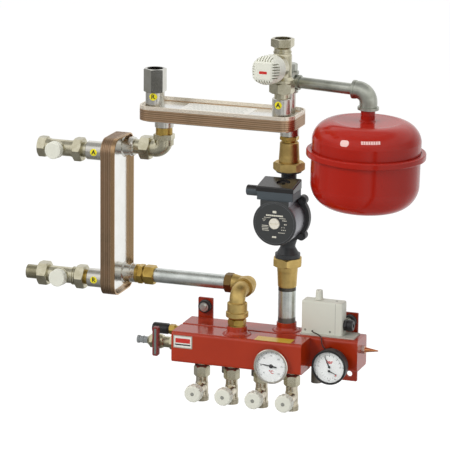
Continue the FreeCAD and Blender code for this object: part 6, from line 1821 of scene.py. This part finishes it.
@dataclass
class Gauges:
    """The thermometer and the combined pressure gauge."""

    paint: float = 0.08 * MM
    bold_share: float = 0.05
    hub_radius: float = 3.9 * MM
    hub_edge: float = 0.8 * MM
    hub_height: float = 1.4 * MM
    hub_lift: float = 1.3 * MM
    blade_angle: float = 83.0
    blade_reach: float = 22.5 * MM
    blade_shoulder: float = 10.0 * MM
    blade_tail: float = 8.0 * MM
    blade_thick: float = 0.5 * MM
    thermometer_scales: tuple[Scale, ...] = (Scale(13, -135, 22.5, 26.4, 3.4, 0.6),
                                             Scale(61, -135, 4.5, 27.1, 1.8, 0.3))
    thermometer_figures: Figures = Figures(("0", "20", "40", "60", "80", "100", "120"), -135, 45, 20.2, 3.2)
    thermometer_unit: Unit = Unit("\u00b0C", -12.0, 6.2)
    pressure_scales: tuple[Scale, ...] = (Scale(9, -91, 22.5, 21.6, 4.2, 0.8),
                                          Scale(41, -91, 4.5, 22.6, 2.0, 0.35))
    pressure_figures: Figures = Figures(("0", "1", "2", "3", "4"), -91, 45, 26.6, 3.9)
    pressure_unit: Unit = Unit("bar", 9.5, 7.0)
    low_drop: float = 8.0 * MM
    low_scale: Scale = Scale(8, 112, 20, 15.0, 2.6, 0.5)
    low_figures: Figures = Figures(("80", "40"), 142, 40, 19.0, 2.5)
    warm_mark: Scale = Scale(1, 122, 20, 15.0, 3.2, 2.2)

    def build(self) -> None:
        """Dress the gauges and print their dials."""
        dress(CHROMED, "thermometer_case")
        dress(DARK_PLASTIC, "manometer_case")
        dress(DIAL_WHITE, "gauge_dials")
        dress(GLASS, "gauge_glasses")
        dress(POINTER_BLACK, "thermometer_pointer", "pressure_pointer", "temperature_pointer")
        left, right = solids_of("gauge_dials")
        self._thermometer(self._middle(left))
        self._manometer(self._middle(right))

    def _middle(self, box: Box) -> Vector:
        """Give the centre of a dial on its printed side."""
        low, high = box
        return Vector(((low.x + high.x) / 2, low.y, (low.z + high.z) / 2))

    def _marks(self, name: str, at: Vector, scales: Iterable[Scale], finish: Finish = INK_BLACK,
               slot: str = "pointer_black") -> None:
        """Print rows of marks round a centre.

        Args:
            name: Piece name.
            at: Centre of the scale.
            scales: The rows.
            finish: Ink.
            slot: Record material slot.
        """
        shape = Shape()
        for scale in scales:
            row = REPEATS.grow(REPEATS.spokes, finish, count=scale.count, start=math.radians(scale.start),
                               step=math.radians(scale.step), radius=scale.radius * MM,
                               length=scale.length * MM, width=scale.width * MM, height=self.paint)
            shape.take(row, Facing.FRONT.matrix(at))
        shape.piece(name, finish, MAIN, slot)

    def _figures(self, name: str, at: Vector, figures: Figures) -> None:
        """Print upright numbers round a centre.

        Args:
            name: Piece name.
            at: Centre of the scale.
            figures: The numbers and their places.
        """
        shape = Shape()
        for count, text in enumerate(figures.texts):
            angle = math.radians(figures.start + count * figures.step)
            spot = at + Vector((math.sin(angle), 0, math.cos(angle))) * figures.radius * MM
            shape.take(lettering(text, figures.height * MM, self.paint), Facing.FRONT.matrix(spot))
        shape.piece(name, INK_BLACK, MAIN, "pointer_black")

    def _unit(self, name: str, at: Vector, unit: Unit) -> None:
        """Print a unit in bold red strokes.

        Args:
            name: Piece name.
            at: Centre of the dial.
            unit: The unit and its place.
        """
        mesh = lettering(unit.text, unit.height * MM, self.paint, self.bold_share * unit.height * MM)
        place = Facing.FRONT.matrix(at + Vector((0, 0, unit.rise * MM)))
        Shape().take(mesh, place).piece(name, INK_RED, MAIN, "red_plastic")

    def _thermometer(self, at: Vector) -> None:
        """Print 0 to 120 degrees round the left dial, and give its pointer a thick hub and a blade.

        Args:
            at: Centre of the dial.
        """
        self._marks("thermometer_marks", at, self.thermometer_scales)
        self._figures("thermometer_numbers", at, self.thermometer_figures)
        self._unit("thermometer_unit", at, self.thermometer_unit)
        hub = Facing.FRONT.matrix(at + Vector((0, -self.hub_lift, 0)))
        rim, top = self.hub_radius, self.hub_height
        profile = [(0, 0), (rim, 0), (rim, top / 2), (rim - self.hub_edge, top - 0.1 * MM), (0, top)]
        Shape().turned(profile, hub, 40).piece(
            "thermometer_hub", POINTER_BLACK, "thermometer_pointer", "pointer_black", smooth=40)
        tail, shoulder = -self.blade_tail, self.blade_shoulder
        outline = [(-1.1 * MM, tail), (1.1 * MM, tail), (0.9 * MM, shoulder), (0, self.blade_reach),
                   (-0.9 * MM, shoulder)]
        blade = hub @ Matrix.Rotation(math.radians(self.blade_angle), 4, "Z")
        plate("thermometer_blade", outline, self.blade_thick, blade, POINTER_BLACK, "pointer_black",
              "thermometer_pointer")

    def _manometer(self, at: Vector) -> None:
        """Print a pressure scale and a small temperature scale on the right dial.

        Args:
            at: Centre of the dial.
        """
        self._marks("manometer_marks", at, self.pressure_scales)
        self._figures("manometer_numbers", at, self.pressure_figures)
        self._unit("manometer_unit", at, self.pressure_unit)
        low = at - Vector((0, 0, self.low_drop))
        self._marks("manometer_low_marks", low, (self.low_scale,))
        self._marks("manometer_warm_mark", low, (self.warm_mark,), INK_RED, "red_plastic")
        self._figures("manometer_low_numbers", low, self.low_figures)


@dataclass
class Thermostat:
    """The safety thermostat box and its capillary."""

    seam_from_right: float = 14.0 * MM
    seam_width: float = 0.5 * MM
    seam_margin: float = 2.0 * MM
    seam_thick: float = 0.06 * MM
    trim_height: float = 2.7 * MM
    screw_radius: float = 2.2 * MM
    top_screw_radius: float = 2.4 * MM
    screw_height: float = 0.3 * MM
    screw_rise: float = 6.0 * MM
    screw_left: float = 8.0 * MM
    screw_right: float = 24.0 * MM
    top_screw_right: float = 16.0 * MM

    def build(self) -> None:
        """Dress the thermostat, then add its seam and screws."""
        dress(GREY_PLASTIC, "thermostat_case", "thermostat_knob")
        low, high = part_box("thermostat_base")
        dress(Zoned("thermostat_trim", tint(30, 30, 31), tint(44, 43, 42), roughness=0.4, patches=0.3,
                    bump=0.03 * MM, axis=Axis.Z, zone=(low.z - PAST_EDGE, low.z + self.trim_height),
                    zone_colour=tint(196, 196, 184), zone_rough=0.08, softness=0.2 * MM), "thermostat_base")
        dress(CAPILLARY, "capillary_tube")
        self._seam()
        self._screws()

    def _seam(self) -> None:
        """Draw the lid's seam on the front of the case."""
        low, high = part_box("thermostat_case")
        at = Vector((high.x - self.seam_from_right, low.y, (low.z + high.z) / 2))
        outline = rounded(self.seam_width, high.z - low.z - 2 * self.seam_margin, 0.2 * MM)
        plate("thermostat_seam", outline, self.seam_thick, Facing.FRONT.matrix(at), SEAM_GREY,
              "grey_plastic")

    def _screws(self) -> None:
        """Add two screw heads on the front of the case and one on its top."""
        low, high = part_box("thermostat_case")
        height = low.z + self.screw_rise
        depth = (low.y + high.y) / 2
        shape = Shape()
        for facing, radius, edge, at in (
                (Facing.FRONT, self.screw_radius, 0.3 * MM, (low.x + self.screw_left, low.y, height)),
                (Facing.FRONT, self.screw_radius, 0.3 * MM, (high.x - self.screw_right, low.y, height)),
                (Facing.UP, self.top_screw_radius, 0.4 * MM,
                 (high.x - self.top_screw_right, depth, high.z))):
            profile = [(0, 0), (radius, 0), (radius - edge, self.screw_height - 0.05 * MM),
                       (0, self.screw_height)]
            shape.turned(profile, facing.matrix(Vector(at)), 24)
        shape.piece("thermostat_screws", SEAM_GREY, MAIN, "grey_plastic", smooth=30)


# -----------------------------------------------------------
# Studio
# -----------------------------------------------------------

@dataclass(frozen=True)
class Lamp:
    """One soft square lamp.

    Attributes:
        name: Lamp name.
        at: Its place.
        size: Side of its face, in metres.
        watts: Its power.
        mirrored: Whether shiny surfaces show it.
    """

    name: str
    at: Point
    size: float
    watts: float
    mirrored: bool = False


@dataclass
class Studio:
    """Camera, floor, lamps and world.

    Attributes:
        azimuth: Camera azimuth in degrees.
        elevation: Camera elevation in degrees.
        roll: Camera roll in degrees.
        distance: Distance to the target, in metres.
        target: Point that the camera looks at.
        lens: Focal length, in millimetres.
        sensor: Sensor width, in millimetres.
        view_end: How far the camera sees, in metres.
        floor_drop: Gap between the part and the floor, in metres.
        floor_half: Half the floor's side.
        floor_thick: Its thickness.
        paper: Grey of the floor as it lights the part.
        seen_paper: Grey of the floor as the camera sees it.
        seen_glow: Light of its own that the camera sees it give.
        fill: Level of plain light from all round.
        sky_start: Upward share of a direction from which the sky begins to show.
        sky_full: Upward share from which only the sky shows.
        lamp_aim: Point that the lamps face.
        lamps: The lamps.
    """

    azimuth: float = 19.060693
    elevation: float = 14.066928
    roll: float = 0.5943175
    distance: float = 5.730417
    target: Point = (-0.0889546, -0.062, 0.1781373)
    lens: float = 242.62
    sensor: float = 36.0
    view_end: float = 60.0
    floor_drop: float = 0.45
    floor_half: float = 14.0
    floor_thick: float = 0.01
    paper: float = 0.86
    seen_paper: float = 0.34
    seen_glow: float = 0.84
    fill: float = 0.46
    sky_start: float = 0.26
    sky_full: float = 0.36
    lamp_aim: Point = (-0.05, 0.0, 0.2)
    lamps: tuple[Lamp, ...] = (
        Lamp("key_lamp", (-1.7, -2.7, 2.2), 1.5, 56.0),
        Lamp("fill_lamp", (2.4, -2.2, 1.0), 1.4, 8.0),
        Lamp("top_lamp", (0.0, 0.2, 2.8), 1.8, 26.0),
        Lamp("glint_lamp", (-1.7, -2.7, 2.2), 0.5, 2.2, mirrored=True))

    def camera(self) -> None:
        """Stand the camera where it sees the manifold from the right front, a little above."""
        a, e, r = (math.radians(angle) for angle in (self.azimuth, self.elevation, self.roll))
        back = Vector((math.sin(a) * math.cos(e), -math.cos(a) * math.cos(e), math.sin(e)))
        right = Vector((math.cos(a), math.sin(a), 0))
        up = back.cross(right)
        across = right * math.cos(r) + up * math.sin(r)
        upright = up * math.cos(r) - right * math.sin(r)
        turn = Matrix((across, upright, back)).transposed().to_4x4()
        data = bpy.data.cameras.new("camera")
        data.lens = self.lens
        data.sensor_width = self.sensor
        data.clip_end = self.view_end
        made = bpy.data.objects.new("camera", data)
        bpy.context.scene.collection.objects.link(made)
        made.matrix_world = Matrix.Translation(Vector(self.target) + back * self.distance) @ turn
        bpy.context.scene.camera = made

    def floor(self) -> None:
        """Lay a pale floor below the part and keep its soft shadow."""
        half = self.floor_half
        under = CAD_BOUNDS[0].z - self.floor_drop - self.floor_thick
        mesh = Shape().slab([(-half, -half), (half, -half), (half, half), (-half, half)], self.floor_thick,
                            Matrix.Translation((0, 0, under))).mesh("floor")
        mesh.materials.append(self._paper())
        made = bpy.data.objects.new("floor", mesh)
        bpy.context.scene.collection.objects.link(made)

    def _paper(self) -> bpy.types.Material:
        """Make the floor's paper: one look for the camera, one for what lies on it, one for metal.

        Returns:
            The material.
        """
        material = bpy.data.materials.new("floor_paper")
        material.use_nodes = True
        material.node_tree.nodes.clear()
        g = Graph(material.node_tree)
        lighting = self._glow(g, "ShaderNodeBsdfDiffuse", [self.paper] * 3)
        seen = g.add("ShaderNodeAddShader")
        g.feed(seen.inputs[0], self._glow(g, "ShaderNodeBsdfDiffuse", [self.seen_paper] * 3))
        g.feed(seen.inputs[1], self._glow(g, "ShaderNodeEmission", [self.seen_glow] * 3))
        room = g.use(EFFECTS.room, vector=g.place()).outputs["Floor"]
        mirrored = self._glow(g, "ShaderNodeEmission", room)
        path = g.add("ShaderNodeLightPath").outputs
        look = self._choose(g, path["Is Camera Ray"], lighting, seen.outputs[0])
        look = self._choose(g, path["Is Glossy Ray"], look, mirrored)
        g.feed(g.add("ShaderNodeOutputMaterial").inputs[0], look)
        return material

    def _glow(self, g: Graph, kind: str, colour: Value) -> Socket:
        """Add a shader of one colour.

        Args:
            g: Graph of the material.
            kind: Blender's name of the shader.
            colour: Its colour.

        Returns:
            The shader.
        """
        node = g.add(kind)
        g.feed(node.inputs["Color"], colour)
        return node.outputs[0]

    def _choose(self, g: Graph, share: Socket, first: Socket, second: Socket) -> Socket:
        """Mix two shaders.

        Args:
            g: Graph of the material.
            share: Share of the second shader.
            first: First shader.
            second: Second shader.

        Returns:
            The mixed shader.
        """
        node = g.add("ShaderNodeMixShader")
        for socket, value in zip(node.inputs, (share, first, second)):
            g.feed(socket, value)
        return node.outputs[0]

    def hang(self, lamp: Lamp) -> None:
        """Hang one lamp.

        Args:
            lamp: The lamp.
        """
        data = bpy.data.lights.new(lamp.name, "AREA")
        data.shape = "SQUARE"
        data.size = lamp.size
        data.energy = lamp.watts
        made = bpy.data.objects.new(lamp.name, data)
        bpy.context.scene.collection.objects.link(made)
        way = Vector(lamp.at) - Vector(self.lamp_aim)
        made.matrix_world = Matrix.Translation(lamp.at) @ way.to_track_quat("Z", "Y").to_matrix().to_4x4()
        made.visible_glossy = lamp.mirrored

    def world(self) -> None:
        """Put white behind the part, a room for metal to mirror, and plain soft fill for the rest."""
        world = bpy.data.worlds.new("studio")
        bpy.context.scene.world = world
        world.use_nodes = True
        world.node_tree.nodes.clear()
        g = Graph(world.node_tree)
        way = g.add("ShaderNodeTexCoord").outputs["Generated"]
        around = g.use(EFFECTS.room, vector=way).outputs
        above = g.spread(g.share(way, Axis.Z), self.sky_start, self.sky_full)
        room = g.mix(above, around["Wall"], around["Sky"])
        path = g.add("ShaderNodeLightPath").outputs
        seen = g.maths("MAXIMUM", path["Is Camera Ray"], path["Is Transmission Ray"])
        fill = g.mix(path["Is Glossy Ray"], [self.fill] * 3, room)
        light = self._glow(g, "ShaderNodeBackground", g.mix(seen, fill, (1.0, 1.0, 1.0)))
        g.feed(g.add("ShaderNodeOutputWorld").inputs[0], light)

    def build(self) -> None:
        """Set up camera, floor, world and lamps."""
        self.camera()
        self.floor()
        self.world()
        for lamp in self.lamps:
            self.hang(lamp)
        bpy.context.scene.view_settings.view_transform = "Standard"


def main() -> None:
    """Build the looks in order and note the sizes."""
    logging.basicConfig(level=logging.INFO, format="%(name)s: %(message)s")
    Studio().build()
    for part in (Headers(), Exchangers(), Valves(), Pump(), Vessel(), Gauges(), Thermostat()):
        part.build()
        log.info("%s done", type(part).__name__)


if __name__ == "__main__":
    main()
